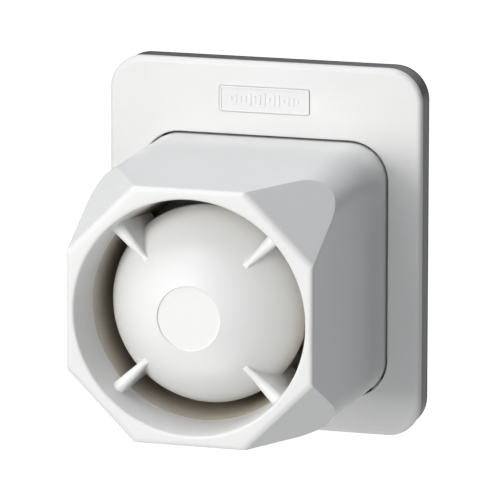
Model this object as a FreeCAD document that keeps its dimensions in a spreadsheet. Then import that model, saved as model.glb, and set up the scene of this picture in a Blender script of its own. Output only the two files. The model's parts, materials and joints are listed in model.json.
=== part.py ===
"""Wall-mounted alarm siren: back box, pull-off cover, square horn housing with a round re-entrant horn.

Frame: X to the right, Y into the wall, Z up, millimetres. The origin is the centre of the face that
touches the wall. "Front" distances below are measured from the wall, so front = -Y. The horn's axis
runs along Y through (0, horn_z).
"""

import FreeCAD
import Part
import Sketcher
import math
import os

# Driving dimensions: alias, value, what it is. Lengths in millimetres, angles in degrees.
SIZES = {
    "cover_width": (115.0, "front cover, side to side"),
    "cover_height": (132.6, "front cover, top to bottom"),
    "cover_corner": (12.5, "front cover, corner radius"),
    "cover_front": (12.0, "wall to the cover's face"),
    "cover_thick": (2.2, "front cover, wall thickness"),
    "cover_edge": (1.4, "rounding of the cover's outer edge"),
    "window_gap": (1.2, "gap round the horn in the cover's window"),
    "skirt_gap": (0.4, "gap between the cover's skirt and the box"),
    "skirt_thick": (1.6, "cover skirt thickness"),
    "skirt_back": (6.2, "wall to the skirt's rear edge"),
    "badge_width": (33.0, "badge, side to side"),
    "badge_height": (9.0, "badge, top to bottom"),
    "badge_z": (52.6, "badge centre height"),
    "badge_corner": (0.8, "badge corner radius"),
    "badge_recess": (0.5, "depth of the badge's recess"),
    "badge_thick": (0.8, "badge thickness"),
    "badge_rise": (0.25, "height of the badge's border"),
    "badge_border": (0.7, "width of the badge's border"),
    "badge_room": (0.2, "gap round the badge in its recess"),
    "box_reveal": (0.5, "cover overhang beyond the box"),
    "box_wall": (2.0, "back box wall thickness"),
    "box_floor": (2.0, "back box floor thickness"),
    "gasket_thick": (1.2, "wall gasket thickness"),
    "wall_hole_x": (30.0, "wall screw holes, half spacing across"),
    "wall_hole_z": (57.0, "wall screw holes, half spacing up"),
    "wall_hole_radius": (2.4, "wall screw hole radius"),
    "wall_boss_radius": (4.4, "wall screw boss radius"),
    "wall_boss_rise": (1.0, "wall screw boss height"),
    "horn_z": (-6.5, "height of the horn's axis"),
    "horn_width": (89.2, "housing width at its rear edge"),
    "horn_height": (91.2, "housing height at its rear edge"),
    "mouth_width": (88.0, "housing width at the mouth"),
    "mouth_height": (90.0, "housing height at the mouth"),
    "horn_corner": (13.3, "housing corner radius"),
    "horn_wall": (2.2, "housing wall thickness"),
    "horn_back": (4.2, "wall to the housing's rear edge"),
    "mouth_front": (102.0, "wall to the mouth plane"),
    "facet_cut": (17.5, "depth of the corner facet at the mouth, along the diagonal"),
    "facet_length": (47.2, "length over which a facet would run out at a sharp corner"),
    "diagonal_share": (0.353553, "share of width plus height that is the corner's distance"),
    "mouth_radius": (41.2, "bell radius at the mouth"),
    "lip_back": (85.0, "wall to the rear of the white bell lip"),
    "lip_radius": (39.7, "bell radius at the rear of the lip"),
    "lip_wall": (1.6, "bell lip wall thickness"),
    "ear_x": (43.7, "horn ear screw, half spacing across"),
    "ear_z": (44.7, "horn ear screw, half spacing up"),
    "ear_radius": (5.0, "horn ear radius"),
    "ear_back": (6.2, "wall to the ear's rear face"),
    "ear_front": (8.8, "wall to the ear's front face"),
    "boss_radius": (3.6, "box boss radius under an ear"),
    "screw_radius": (1.4, "self-tapping screw shank radius"),
    "screw_clear": (0.25, "clearance round a shank in a through hole"),
    "pilot_clear": (0.05, "clearance round a shank in its pilot hole"),
    "head_height": (1.7, "screw head height"),
    "bell_post": (31.25, "inner horn screws, half spacing across and up"),
    "bell_post_radius": (2.9, "housing post radius for an inner horn screw"),
    "bell_post_front": (97.0, "wall to the post's front end"),
    "bell_screw": (1.1, "inner horn screw shank radius"),
    "inner_radius": (39.6, "inner horn radius behind the lip"),
    "inner_mid": (36.6, "inner horn radius at its straight end"),
    "inner_mid_front": (58.0, "wall to the straight end"),
    "inner_wall": (1.8, "inner horn wall thickness"),
    "inner_floor": (44.0, "wall to the inner horn's floor"),
    "inner_back": (42.2, "wall to the inner horn's rear face"),
    "inner_bend": (5.0, "radius of the bend at the inner horn's floor"),
    "flange_thick": (2.4, "inner horn flange thickness"),
    "flange_radius": (41.5, "inner horn flange radius"),
    "dome_radius": (36.25, "sphere radius of the dome's face"),
    "dome_edge": (34.8, "dome edge radius"),
    "dome_edge_front": (78.0, "wall to the dome's edge"),
    "disc_radius": (11.3, "radius of the recessed centre disc"),
    "disc_drop": (0.5, "depth of the centre disc's recess"),
    "cup_wall": (1.8, "reflector cup wall thickness"),
    "skirt_end": (52.0, "wall to the rear edge of the cup's skirt"),
    "skirt_end_radius": (31.0, "cup skirt radius at its rear edge"),
    "rib_thick": (4.0, "rib thickness"),
    "rib_front": (94.0, "wall to a rib's front edge"),
    "rib_back": (66.0, "wall to a rib's rear edge"),
    "tube_radius": (8.4, "throat tube outer radius"),
    "tube_bore": (6.0, "throat tube bore radius at the front"),
    "throat_radius": (4.6, "throat radius at the driver"),
    "tube_front": (84.0, "wall to the throat tube's front end"),
    "tube_flange": (20.0, "throat tube flange radius"),
    "frame_radius": (32.5, "driver frame radius"),
    "frame_back": (37.6, "wall to the compression plate's rear face"),
    "frame_front": (40.4, "wall to the driver frame's front face"),
    "driver_post": (20.5, "driver screws, half spacing across and up"),
    "motor_radius": (25.0, "magnet and plate radius"),
    "clamp_back": (31.0, "wall to the clamp ring, the top plate's front face"),
    "clamp_front": (33.0, "wall to the surround"),
    "surround_front": (33.6, "wall to the surround's front face"),
    "diaphragm_radius": (18.3, "diaphragm edge radius"),
    "diaphragm_back": (33.1, "wall to the diaphragm's edge"),
    "diaphragm_rise": (2.8, "height of the diaphragm's dome"),
    "diaphragm_thick": (0.4, "diaphragm thickness"),
    "diaphragm_sphere": (61.2, "sphere radius of the diaphragm's dome"),
    "coil_radius": (12.1, "voice coil inner radius"),
    "coil_thick": (0.8, "voice coil thickness"),
    "coil_back": (26.8, "wall to the voice coil's rear end"),
    "coil_front": (34.5, "wall to the voice coil's front end"),
    "pole_radius": (11.6, "pole piece radius"),
    "plate_bore": (13.4, "top plate bore radius"),
    "plate_back": (27.0, "wall to the top plate's rear face"),
    "magnet_bore": (15.5, "magnet bore radius"),
    "magnet_back": (17.0, "wall to the magnet's rear face"),
    "yoke_back": (13.0, "wall to the back plate's rear face"),
    "board_half": (38.0, "half side of the siren board"),
    "board_back": (6.2, "wall to the board's rear face"),
    "board_thick": (1.6, "board thickness"),
    "board_notch": (19.0, "board corner notch, distance from the horn's axis"),
    "board_post_x": (34.0, "board screws, half spacing across"),
    "board_post_z": (13.0, "board screws, half spacing up"),
    "board_screw": (1.1, "board screw shank radius"),
    "corner_part": (28.5, "distance of the corner components from the horn's axis"),
    "chip_place": (8.0, "tone chip, height over the horn's axis"),
    "chip_width": (9.6, "tone chip, side to side"),
    "chip_tall": (6.4, "tone chip, top to bottom"),
    "chip_thick": (3.2, "tone chip thickness"),
    "chip_lift": (0.6, "gap between the tone chip and the board"),
    "lead_pitch": (2.54, "pitch of the legs of chip and transistor"),
    "chip_leg_reach": (3.7, "chip legs, distance from the chip's centre"),
    "reservoir_radius": (5.0, "reservoir capacitor radius"),
    "reservoir_tall": (16.4, "reservoir capacitor height"),
    "small_cap_radius": (2.5, "small capacitor radius"),
    "small_cap_tall": (4.6, "small capacitor height"),
    "small_cap_place": (33.0, "small capacitors, height over the horn's axis"),
    "resistor_place": (8.0, "resistors, height below the horn's axis"),
    "resistor_pitch": (6.0, "pitch of the resistors"),
    "resistor_long": (6.4, "resistor length"),
    "resistor_radius": (1.2, "resistor radius"),
    "resistor_cap": (1.4, "length of a resistor's end cap"),
    "sink_width": (17.0, "heat sink, side to side"),
    "sink_thick": (2.4, "heat sink plate thickness"),
    "sink_tall": (15.0, "heat sink height over the board"),
    "fin_long": (5.0, "heat sink fin length"),
    "fin_thick": (1.2, "heat sink fin thickness"),
    "fin_pitch": (4.0, "pitch of the heat sink's fins"),
    "transistor_width": (10.0, "transistor, side to side"),
    "transistor_thick": (4.4, "transistor thickness"),
    "transistor_tall": (9.0, "transistor case height"),
    "transistor_lift": (4.0, "gap between the transistor's case and the board"),
    "inductor_radius": (6.0, "inductor flange radius"),
    "inductor_waist": (4.6, "inductor winding radius"),
    "inductor_tall": (9.8, "inductor height"),
    "inductor_place": (32.0, "inductor, height below the horn's axis"),
    "entry_x": (-28.0, "cable entry, sideways place"),
    "entry_z": (-34.5, "cable entry, height"),
    "entry_hole": (8.0, "hole for the grommet in the box floor"),
    "entry_bore": (5.0, "grommet bore radius"),
    "pole_pitch": (5.08, "terminal pitch"),
    "terminal_depth": (8.4, "terminal block, top to bottom"),
    "terminal_rise": (10.4, "terminal block height over the board"),
    "terminal_screw": (1.7, "terminal clamp screw radius"),
    "tamper_z": (51.2, "tamper plunger height"),
    "tamper_half": (6.5, "tamper switch half width"),
    "tamper_tall": (4.0, "tamper switch half height"),
    "tamper_front": (7.4, "wall to the tamper switch's face"),
    "tamper_room": (2.3, "tamper chamber radius"),
    "plunger_radius": (1.2, "tamper plunger radius"),
    "collar_radius": (2.0, "tamper plunger collar radius"),
    "collar_back": (4.6, "wall to the collar at rest"),
    "lead_radius": (0.7, "driver lead radius"),
    "thin_lead_radius": (0.55, "tamper lead radius"),
}

doc = FreeCAD.newDocument("alarm_siren")
sheet = doc.addObject("Spreadsheet::Sheet", "Sizes")
for line, (alias, (value, note)) in enumerate(SIZES.items(), start=1):
    sheet.set("A%d" % line, alias)
    sheet.set("B%d" % line, str(value))
    sheet.set("C%d" % line, note)
    sheet.setAlias("B%d" % line, alias)
doc.recompute()

FORWARD = FreeCAD.Rotation(FreeCAD.Vector(1, 0, 0), 90)  # turns a primitive's +Z to the front, -Y
ALONG_DEPTH = FreeCAD.Rotation(FreeCAD.Vector(0, 1, 0), 180)  # sketch x reads as distance from the wall
MOUTH_FACET = "mouth_width * diagonal_share + mouth_height * diagonal_share - facet_cut"
SUBPARTS = []


def number(text):
    """The value of a formula of aliases and numbers joined by + - * / and spaces, without brackets."""
    total = 0.0
    sign = 1.0
    term = None
    operator = "*"
    for token in str(text).split():
        if token in ("+", "-"):
            total += sign * term
            sign = 1.0 if token == "+" else -1.0
            term = None
            operator = "*"
        elif token in ("*", "/"):
            operator = token
        else:
            factor = sheet.get(token) if token in SIZES else float(token)
            if term is None:
                term = factor
            elif operator == "*":
                term *= factor
            else:
                term /= factor
    return total + sign * term


def formula(text):
    """The same formula as an expression on the sheet."""
    return " ".join("Sizes." + token if token in SIZES else token for token in str(text).split())


def bind(thing, **properties):
    """Binds properties to the sheet. A double underscore in a name stands for a dot."""
    for name, text in properties.items():
        thing.setExpression(name.replace("__", "."), formula(text))


def flip(text):
    """A formula with its signs swapped after the first term, to stand after a minus sign."""
    return " ".join({"+": "-", "-": "+"}.get(token, token) for token in text.split())


def minus(text):
    """The negative of a formula."""
    return "0 - " + flip(text)


def half(text):
    """Half of a formula, term by term."""
    return "0.5 * " + " ".join(token + " 0.5 *" if token in "+-" else token for token in text.split())


def place(thing, x="0", front="0", z="0"):
    """Binds a primitive's place: x to the right, front from the wall, z up."""
    bind(thing, Placement__Base__x=x, Placement__Base__y=minus(front), Placement__Base__z=z)


def subpart(thing, node):
    """Names a finished sub-part. Its label is its node and file name."""
    thing.Label = node
    SUBPARTS.append(thing)
    return thing


def origin_plane(body, role):
    """One of the body's own origin planes."""
    for feature in body.Origin.OriginFeatures:
        if feature.Role == role:
            return feature
    raise ValueError(role)


def front_sketch(body, name, front="0"):
    """A sketch parallel to the wall, at a distance from it: sketch x is X and sketch y is Z."""
    sketch = body.newObject("Sketcher::SketchObject", name)
    sketch.AttachmentSupport = [(origin_plane(body, "XZ_Plane"), "")]
    sketch.MapMode = "FlatFace"
    bind(sketch, AttachmentOffset__Base__z=front)
    return sketch


def pin_point(sketch, geometry, point, x, y):
    """Fixes a point of the sketch at x, y, each a formula."""
    for kind, text, axis in (("DistanceX", x, -2), ("DistanceY", y, -1)):
        if abs(number(text)) < 1e-9:
            sketch.addConstraint(_on_axis(geometry, point, axis))
            continue
        index = sketch.addConstraint(_distance(kind, geometry, point, number(text)))
        sketch.setExpression("Constraints[%d]" % index, formula(text))


def _on_axis(geometry, point, axis):
    return Sketcher.Constraint("PointOnObject", geometry, point, axis)


def _distance(kind, geometry, point, value):
    return Sketcher.Constraint(kind, -1, 1, geometry, point, value)


def add_round_rectangle(sketch, width, height, radius, x="0", z="0"):
    """A rectangle with round corners, centred on x, z."""
    half_w, half_h, r = number(width) / 2, number(height) / 2, number(radius)
    cx, cz = number(x), number(z)
    ix, iz = half_w - r, half_h - r
    corners = [(ix, -iz, 270), (ix, iz, 0), (-ix, iz, 90), (-ix, -iz, 180)]
    first = sketch.GeometryCount
    for px, pz, start in corners:
        a, b = math.radians(start), math.radians(start + 90)
        centre = FreeCAD.Vector(cx + px, cz + pz, 0)
        circle = Part.Circle(centre, FreeCAD.Vector(0, 0, 1), r)
        sketch.addGeometry(Part.ArcOfCircle(circle, a, b), False)
    for k in range(4):
        a = sketch.Geometry[first + k].EndPoint
        b = sketch.Geometry[first + (k + 1) % 4].StartPoint
        sketch.addGeometry(Part.LineSegment(a, b), False)
    for k in range(4):
        side = first + 4 + k
        sketch.addConstraint(Sketcher.Constraint("Tangent", first + k, 2, side, 1))
        sketch.addConstraint(Sketcher.Constraint("Tangent", side, 2, first + (k + 1) % 4, 1))
    for k in range(1, 4):
        sketch.addConstraint(Sketcher.Constraint("Equal", first, first + k))
    index = sketch.addConstraint(Sketcher.Constraint("Radius", first, r))
    sketch.setExpression("Constraints[%d]" % index, formula(radius))
    sketch.addConstraint(Sketcher.Constraint("Vertical", first + 4))
    sketch.addConstraint(Sketcher.Constraint("Horizontal", first + 5))
    spans = (
        ("DistanceX", first + 4, 1, half(width) + " + " + x),
        ("DistanceY", first + 5, 1, half(height) + " + " + z),
        ("DistanceX", first + 6, 1, minus(half(width)) + " + " + x),
        ("DistanceY", first + 7, 1, minus(half(height)) + " + " + z),
    )
    for kind, geometry, point, text in spans:
        index = sketch.addConstraint(_distance(kind, geometry, point, number(text)))
        sketch.setExpression("Constraints[%d]" % index, formula(text))


def add_circle(sketch, radius, x="0", z="0"):
    """A circle at x, z."""
    centre = FreeCAD.Vector(number(x), number(z), 0)
    circle = sketch.addGeometry(Part.Circle(centre, FreeCAD.Vector(0, 0, 1), number(radius)), False)
    pin_point(sketch, circle, 3, x, z)
    index = sketch.addConstraint(Sketcher.Constraint("Radius", circle, number(radius)))
    sketch.setExpression("Constraints[%d]" % index, formula(radius))


def pad(body, sketch, length):
    """Material from the sketch towards the front."""
    feature = body.newObject("PartDesign::Pad", sketch.Name + "_pad")
    feature.Profile = sketch
    bind(feature, Length=length)
    doc.recompute()
    return feature


def pocket(body, sketch, length):
    """A cut from the sketch towards the front. It has to remove material."""
    before = body.Shape.Volume
    feature = body.newObject("PartDesign::Pocket", sketch.Name + "_pocket")
    feature.Profile = sketch
    feature.Reversed = True
    bind(feature, Length=length)
    doc.recompute()
    if body.Shape.Volume > before - 1e-3:
        raise ValueError(sketch.Name + " cuts nothing")
    return feature


def plate(name, width, height, radius, back, thick, x="0", z="0"):
    """A body that starts as a round-cornered plate parallel to the wall."""
    body = doc.addObject("PartDesign::Body", name)
    sketch = front_sketch(body, name + "_outline", back)
    add_round_rectangle(sketch, width, height, radius, x, z)
    pad(body, sketch, thick)
    return body


def cut_plate(body, name, width, height, radius, back, depth, x="0", z="0"):
    """A round-cornered pocket in a body."""
    sketch = front_sketch(body, name, back)
    add_round_rectangle(sketch, width, height, radius, x, z)
    return pocket(body, sketch, depth)


def add_plate(body, name, width, height, radius, back, depth, x="0", z="0"):
    """A round-cornered pad on a body."""
    sketch = front_sketch(body, name, back)
    add_round_rectangle(sketch, width, height, radius, x, z)
    return pad(body, sketch, depth)


def add_posts(body, name, radius, back, depth, points):
    """Round posts on a body."""
    sketch = front_sketch(body, name, back)
    for x, z in points:
        add_circle(sketch, radius, x, z)
    return pad(body, sketch, depth)


def cut_holes(body, name, radius, back, depth, points):
    """Round holes in a body."""
    sketch = front_sketch(body, name, back)
    for x, z in points:
        add_circle(sketch, radius, x, z)
    return pocket(body, sketch, depth)


def turned(name, outline, x="0", z="horn_z"):
    """A solid of revolution about the line along Y at x, z.

    outline holds (front, radius) corners in order. Two more items, a size and a side, bend the run
    that leads to that corner into an arc of that size, its centre on the run's right if side is 1.
    """
    body = doc.addObject("PartDesign::Body", name)
    sketch = body.newObject("Sketcher::SketchObject", name + "_profile")
    sketch.AttachmentSupport = [(origin_plane(body, "YZ_Plane"), "")]
    sketch.MapMode = "FlatFace"
    sketch.AttachmentOffset = FreeCAD.Placement(FreeCAD.Vector(0, 0, 0), ALONG_DEPTH)
    bind(sketch, AttachmentOffset__Base__y=z, AttachmentOffset__Base__z=x)
    corners = [FreeCAD.Vector(number(c[0]), number(c[1]), 0) for c in outline]
    count = len(corners)
    for k in range(count):
        a, b = corners[k], corners[(k + 1) % count]
        bend = outline[(k + 1) % count][2:]
        if not bend:
            sketch.addGeometry(Part.LineSegment(a, b), False)
            continue
        radius = number(bend[0])
        run = b - a
        side = FreeCAD.Vector(run.y, -run.x, 0).normalize() * bend[1]
        centre = (a + b) / 2 + side * math.sqrt(radius**2 - (run.Length / 2) ** 2)
        first, last = (b, a) if bend[1] > 0 else (a, b)
        angles = [math.atan2(p.y - centre.y, p.x - centre.x) for p in (first, last)]
        circle = Part.Circle(centre, FreeCAD.Vector(0, 0, 1), radius)
        sketch.addGeometry(Part.ArcOfCircle(circle, *angles), False)
    ends = {}
    for k in range(count):
        clockwise = outline[(k + 1) % count][2:] and outline[(k + 1) % count][3] > 0
        ends[k] = (2, 1) if clockwise else (1, 2)
    for k in range(count):
        following = (k + 1) % count
        joint = Sketcher.Constraint("Coincident", k, ends[k][1], following, ends[following][0])
        sketch.addConstraint(joint)
        pin_point(sketch, k, ends[k][0], outline[k][0], outline[k][1])
        bend = outline[following][2:]
        if bend:
            index = sketch.addConstraint(Sketcher.Constraint("Radius", k, number(bend[0])))
            sketch.setExpression("Constraints[%d]" % index, formula(bend[0]))
    turn = body.newObject("PartDesign::Revolution", name + "_turn")
    turn.Profile = sketch
    turn.ReferenceAxis = (sketch, ["H_Axis"])
    turn.Angle = 360
    doc.recompute()
    return body


def bar(name, radius, back, front, x="0", z="horn_z"):
    """A round bar along Y."""
    solid = doc.addObject("Part::Cylinder", name)
    solid.Placement = FreeCAD.Placement(FreeCAD.Vector(0, 0, 0), FORWARD)
    bind(solid, Radius=radius, Height="%s - %s" % (front, flip(back)))
    place(solid, x, back, z)
    return solid


def cone(name, back_radius, front_radius, back, front, x="0", z="horn_z"):
    """A round taper along Y."""
    solid = doc.addObject("Part::Cone", name)
    solid.Placement = FreeCAD.Placement(FreeCAD.Vector(0, 0, 0), FORWARD)
    bind(solid, Radius1=back_radius, Radius2=front_radius, Height="%s - %s" % (front, flip(back)))
    place(solid, x, back, z)
    return solid


def block(name, x, z, width, height, back, deep):
    """A box centred on x, z, from back towards the front by deep."""
    solid = doc.addObject("Part::Box", name)
    bind(solid, Length=width, Width=deep, Height=height)
    front = "%s + %s" % (back, deep)
    place(solid, "%s - %s / 2" % (x, width), front, "%s - %s / 2" % (z, height))
    return solid


def join(name, *things):
    """Several shapes as one."""
    result = doc.addObject("Part::MultiFuse", name)
    result.Shapes = list(things)
    return result


def cut(name, base, tool):
    """base without tool."""
    result = doc.addObject("Part::Cut", name)
    result.Base = base
    result.Tool = tool
    return result


def common(name, base, tool):
    """What base and tool share."""
    result = doc.addObject("Part::Common", name)
    result.Base = base
    result.Tool = tool
    return result


def group(name, things):
    """Separate solids kept in one node."""
    result = doc.addObject("Part::Compound", name)
    result.Links = list(things)
    return result


def corners_of(half_x, half_z, centre_z="0"):
    """The four corners of a rectangle round (0, centre_z), as formulas."""
    found = []
    for x in (minus(half_x), half_x):
        for z in ("%s - %s" % (centre_z, flip(half_z)), "%s + %s" % (centre_z, half_z)):
            found.append((x, z))
    return found


def screw(name, shank, tip, seat, x, z, toward_front=True):
    """A cross-head screw along Y: shank from tip to seat, head beyond the seat."""
    step = "+" if toward_front else "-"
    head_end = "%s %s head_height" % (seat, step)
    low, high = (tip, seat) if toward_front else (seat, tip)
    stem = bar(name + "_stem", shank, low, high, x, z)
    low, high = (seat, head_end) if toward_front else (head_end, seat)
    wide = "%s * 2" % shank
    radii = (wide, "%s * 1.5" % shank) if toward_front else ("%s * 1.5" % shank, wide)
    head = cone(name + "_head", radii[0], radii[1], low, high, x, z)
    body = join(name + "_body", stem, head)
    deep = "head_height * 0.6"
    start = "%s - %s" % (head_end, deep) if toward_front else head_end
    slots = [
        block(name + "_slot_a", x, z, "%s * 2" % shank, "%s * 0.4" % shank, start, deep),
        block(name + "_slot_b", x, z, "%s * 0.4" % shank, "%s * 2" % shank, start, deep),
    ]
    return cut(name, body, join(name + "_cross", *slots))


# --- Back box, gasket and grommet -------------------------------------------------------------

WALL_HOLES = corners_of("wall_hole_x", "wall_hole_z")
EARS = corners_of("ear_x", "ear_z", "horn_z")
BOARD_POSTS = corners_of("board_post_x", "board_post_z", "horn_z")
BOX_WIDTH = "cover_width - box_reveal * 2"
BOX_HEIGHT = "cover_height - box_reveal * 2"
FLOOR = "gasket_thick + box_floor"
COVER_BACK = "cover_front - cover_thick"


def make_back_box():
    """Dark moulded box that is screwed to the wall."""
    body = plate(
        "back_box_body", BOX_WIDTH, BOX_HEIGHT, "cover_corner - box_reveal",
        "gasket_thick", COVER_BACK + " - gasket_thick",
    )
    cut_plate(
        body, "box_inside", BOX_WIDTH + " - box_wall * 2", BOX_HEIGHT + " - box_wall * 2",
        "cover_corner - box_reveal - box_wall", FLOOR, "cover_front",
    )
    add_posts(body, "wall_bosses", "wall_boss_radius", FLOOR, "wall_boss_rise", WALL_HOLES)
    add_posts(body, "ear_bosses", "boss_radius", FLOOR, "ear_back - gasket_thick - box_floor", EARS)
    deep = "board_back - gasket_thick - box_floor"
    add_posts(body, "board_posts", "board_screw * 2.4", FLOOR, deep, BOARD_POSTS)
    cut_holes(body, "wall_holes", "wall_hole_radius", "0", "cover_front", WALL_HOLES)
    cut_holes(body, "ear_pilots", "screw_radius + pilot_clear", "gasket_thick + 0.6", "ear_back", EARS)
    pilot = "board_screw + pilot_clear"
    cut_holes(body, "board_pilots", pilot, "gasket_thick + 0.6", "board_back", BOARD_POSTS)
    cut_holes(body, "cable_hole", "entry_hole", "0", FLOOR + " + 1", [("entry_x", "entry_z")])
    subpart(body, "back_box")


def make_wall_gasket():
    """Foam sheet between the box and the wall."""
    body = plate(
        "wall_gasket_body", BOX_WIDTH, BOX_HEIGHT, "cover_corner - box_reveal", "0", "gasket_thick"
    )
    cut_holes(body, "gasket_holes", "wall_hole_radius + 0.4", "0", "gasket_thick", WALL_HOLES)
    hole = [("entry_x", "entry_z")]
    cut_holes(body, "gasket_cable_hole", "entry_hole + 1.2", "0", "gasket_thick", hole)
    subpart(body, "wall_gasket")


def make_cable_grommet():
    """Rubber grommet in the box floor, where the supply cable comes in from the wall."""
    rear_lip = "entry_hole + 0.9"
    front_lip = "entry_hole + 1.8"
    outline = [
        ("0.2", "entry_bore"),
        ("0.2", rear_lip),
        ("gasket_thick", rear_lip),
        ("gasket_thick", "entry_hole"),
        (FLOOR, "entry_hole"),
        (FLOOR, front_lip),
        (FLOOR + " + 1.4", "entry_hole + 0.6"),
        (FLOOR + " + 1.4", "entry_bore"),
    ]
    subpart(turned("cable_grommet_body", outline, "entry_x", "entry_z"), "cable_grommet")


# --- Front cover ------------------------------------------------------------------------------


def make_front_cover():
    """White moulded cover. It pulls off forwards over the horn."""
    body = plate(
        "front_cover_body", "cover_width", "cover_height", "cover_corner", COVER_BACK, "cover_thick"
    )
    face = "Face%d" % front_face(body.Shape)
    plain = body.Tip
    edge = body.newObject("PartDesign::Fillet", "cover_rounding")
    edge.Base = (plain, [face])
    bind(edge, Radius="cover_edge")
    doc.recompute()
    skirt_width = BOX_WIDTH + " - box_wall * 2 - skirt_gap * 2"
    skirt_height = BOX_HEIGHT + " - box_wall * 2 - skirt_gap * 2"
    skirt_corner = "cover_corner - box_reveal - box_wall - skirt_gap"
    add_plate(
        body, "skirt", skirt_width, skirt_height, skirt_corner,
        "skirt_back", COVER_BACK + " - skirt_back",
    )
    cut_plate(
        body, "skirt_inside", skirt_width + " - skirt_thick * 2", skirt_height + " - skirt_thick * 2",
        skirt_corner + " - skirt_thick", "skirt_back", COVER_BACK + " - skirt_back",
    )
    cut_plate(
        body, "window", "horn_width + window_gap * 2", "horn_height + window_gap * 2",
        "horn_corner + window_gap", "0", "cover_front + 1", z="horn_z",
    )
    cut_plate(
        body, "badge_seat", "badge_width + badge_room * 2", "badge_height + badge_room * 2",
        "badge_corner + badge_room", "cover_front - badge_recess", "badge_recess * 2", z="badge_z",
    )
    subpart(body, "front_cover")


def front_face(shape):
    """The number of the face that lies furthest forward."""
    places = [face.CenterOfMass.y for face in shape.Faces]
    return places.index(min(places)) + 1


def make_badge():
    """Thin badge in its recess on the cover, with a raised border and a row of wave bars."""
    body = plate(
        "badge_body", "badge_width", "badge_height", "badge_corner",
        "cover_front - badge_recess", "badge_thick - badge_rise", z="badge_z",
    )
    front = "cover_front - badge_recess + badge_thick - badge_rise"
    add_plate(
        body, "border", "badge_width", "badge_height", "badge_corner", front, "badge_rise", z="badge_z"
    )
    cut_plate(
        body, "border_inside", "badge_width - badge_border * 2", "badge_height - badge_border * 2",
        "badge_corner / 2", front, "badge_rise * 2", z="badge_z",
    )
    subpart(body, "badge")


# --- Horn housing -----------------------------------------------------------------------------


def drafted_block(name, inset, back, front):
    """The housing's square form, inset by a wall, with its corners still whole."""
    body = doc.addObject("PartDesign::Body", name)
    ends = (
        ("rear", back, "horn_width", "horn_height"),
        ("mouth", front, "mouth_width", "mouth_height"),
    )
    sketches = []
    for end, place_front, width, height in ends:
        sketch = front_sketch(body, name + "_" + end, place_front)
        wide = "%s - %s * 2" % (width, inset)
        tall = "%s - %s * 2" % (height, inset)
        add_round_rectangle(sketch, wide, tall, "horn_corner - %s" % inset, z="horn_z")
        sketches.append(sketch)
    loft = body.newObject("PartDesign::AdditiveLoft", name + "_loft")
    loft.Profile = sketches[0]
    loft.Sections = [sketches[1]]
    loft.Ruled = True
    doc.recompute()
    return body


def facet_wedge(name, inset):
    """Four-sided taper turned by 45 degrees. Its faces are the four corner facets."""
    wedge = doc.addObject("Part::Wedge", name)
    half_mouth = MOUTH_FACET + " - %s" % inset
    length = "mouth_front + 4"
    growth = "facet_cut * mouth_front / facet_length + facet_cut * 4 / facet_length"
    half_rear = half_mouth + " + " + growth
    bind(
        wedge, Xmin="0 - " + flip(half_mouth), Xmax=half_mouth, Zmin="0 - " + flip(half_mouth),
        Zmax=half_mouth, X2min="0 - " + flip(half_rear), X2max=half_rear,
        Z2min="0 - " + flip(half_rear), Z2max=half_rear, Ymin="0", Ymax=length,
    )
    wedge.Placement = FreeCAD.Placement(
        FreeCAD.Vector(0, 0, 0), FreeCAD.Rotation(FreeCAD.Vector(0, 1, 0), 45)
    )
    place(wedge, "0", "mouth_front", "horn_z")
    return wedge


def make_horn_housing():
    """White square housing with four corner facets, an octagonal rim and a round bell lip."""
    outside = common(
        "housing_outside",
        drafted_block("housing_block", "0", "horn_back", "mouth_front"),
        facet_wedge("housing_facets", "0"),
    )
    hollow = common(
        "housing_hollow",
        drafted_block("hollow_block", "horn_wall", "horn_back - 1", "mouth_front - horn_wall"),
        facet_wedge("hollow_facets", "horn_wall"),
    )
    lip_outline = [
        ("lip_back", "0"),
        ("lip_back", "lip_radius + lip_wall"),
        ("mouth_front", "mouth_radius + lip_wall"),
        ("mouth_front", "0"),
    ]
    lip = turned("lip_outside", lip_outline)
    posts = [
        bar("bell_post_%d" % k, "bell_post_radius", "lip_back", "bell_post_front", x, z)
        for k, (x, z) in enumerate(corners_of("bell_post", "bell_post", "horn_z"))
    ]
    cavity = cut("housing_cavity", hollow, join("kept_inside", lip, *posts))
    mouth_outline = [
        ("lip_back - 1", "0"),
        ("lip_back - 1", "lip_radius"),
        ("lip_back", "lip_radius"),
        ("mouth_front", "mouth_radius"),
        ("mouth_front + 1", "mouth_radius"),
        ("mouth_front + 1", "0"),
    ]
    shell = cut("housing_shell", outside, join("housing_voids", cavity, turned("mouth", mouth_outline)))
    ears = [bar("ear_%d" % k, "ear_radius", "ear_back", "ear_front", x, z) for k, (x, z) in enumerate(EARS)]
    solid = join("housing_with_ears", shell, *ears)
    tools = []
    for k, (x, z) in enumerate(EARS):
        tools.append(bar("ear_hole_%d" % k, "screw_radius + screw_clear", "0", "ear_front + 1", x, z))
        sink_back = "ear_front - head_height - 0.1"
        sink = cone(
            "ear_sink_%d" % k, "screw_radius + screw_clear", "screw_radius * 2 + 0.35",
            sink_back, "ear_front + 0.1", x, z,
        )
        tools.append(sink)
    for k, (x, z) in enumerate(corners_of("bell_post", "bell_post", "horn_z")):
        pilot = "bell_screw + pilot_clear"
        tools.append(bar("bell_pilot_%d" % k, pilot, "lip_back - 1", "lip_back + 7.5", x, z))
    notch = block("lead_notch", "0", "horn_z + horn_height / 2", "10", "8", "horn_back - 1", "3.6")
    tools.append(notch)
    subpart(cut("horn_housing_solid", solid, join("housing_holes", *tools)), "horn_housing")


def make_horn_seal():
    """Rubber ring under the housing's rear edge."""
    body = plate(
        "horn_seal_body", "horn_width + 0.6", "horn_height + 0.6", "horn_corner + 0.3",
        FLOOR, "horn_back - gasket_thick - box_floor", z="horn_z",
    )
    cut_plate(
        body, "seal_inside", "horn_width - 5.4", "horn_height - 5.4", "horn_corner - 2.7",
        FLOOR, "2", z="horn_z",
    )
    subpart(body, "horn_seal")


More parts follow.
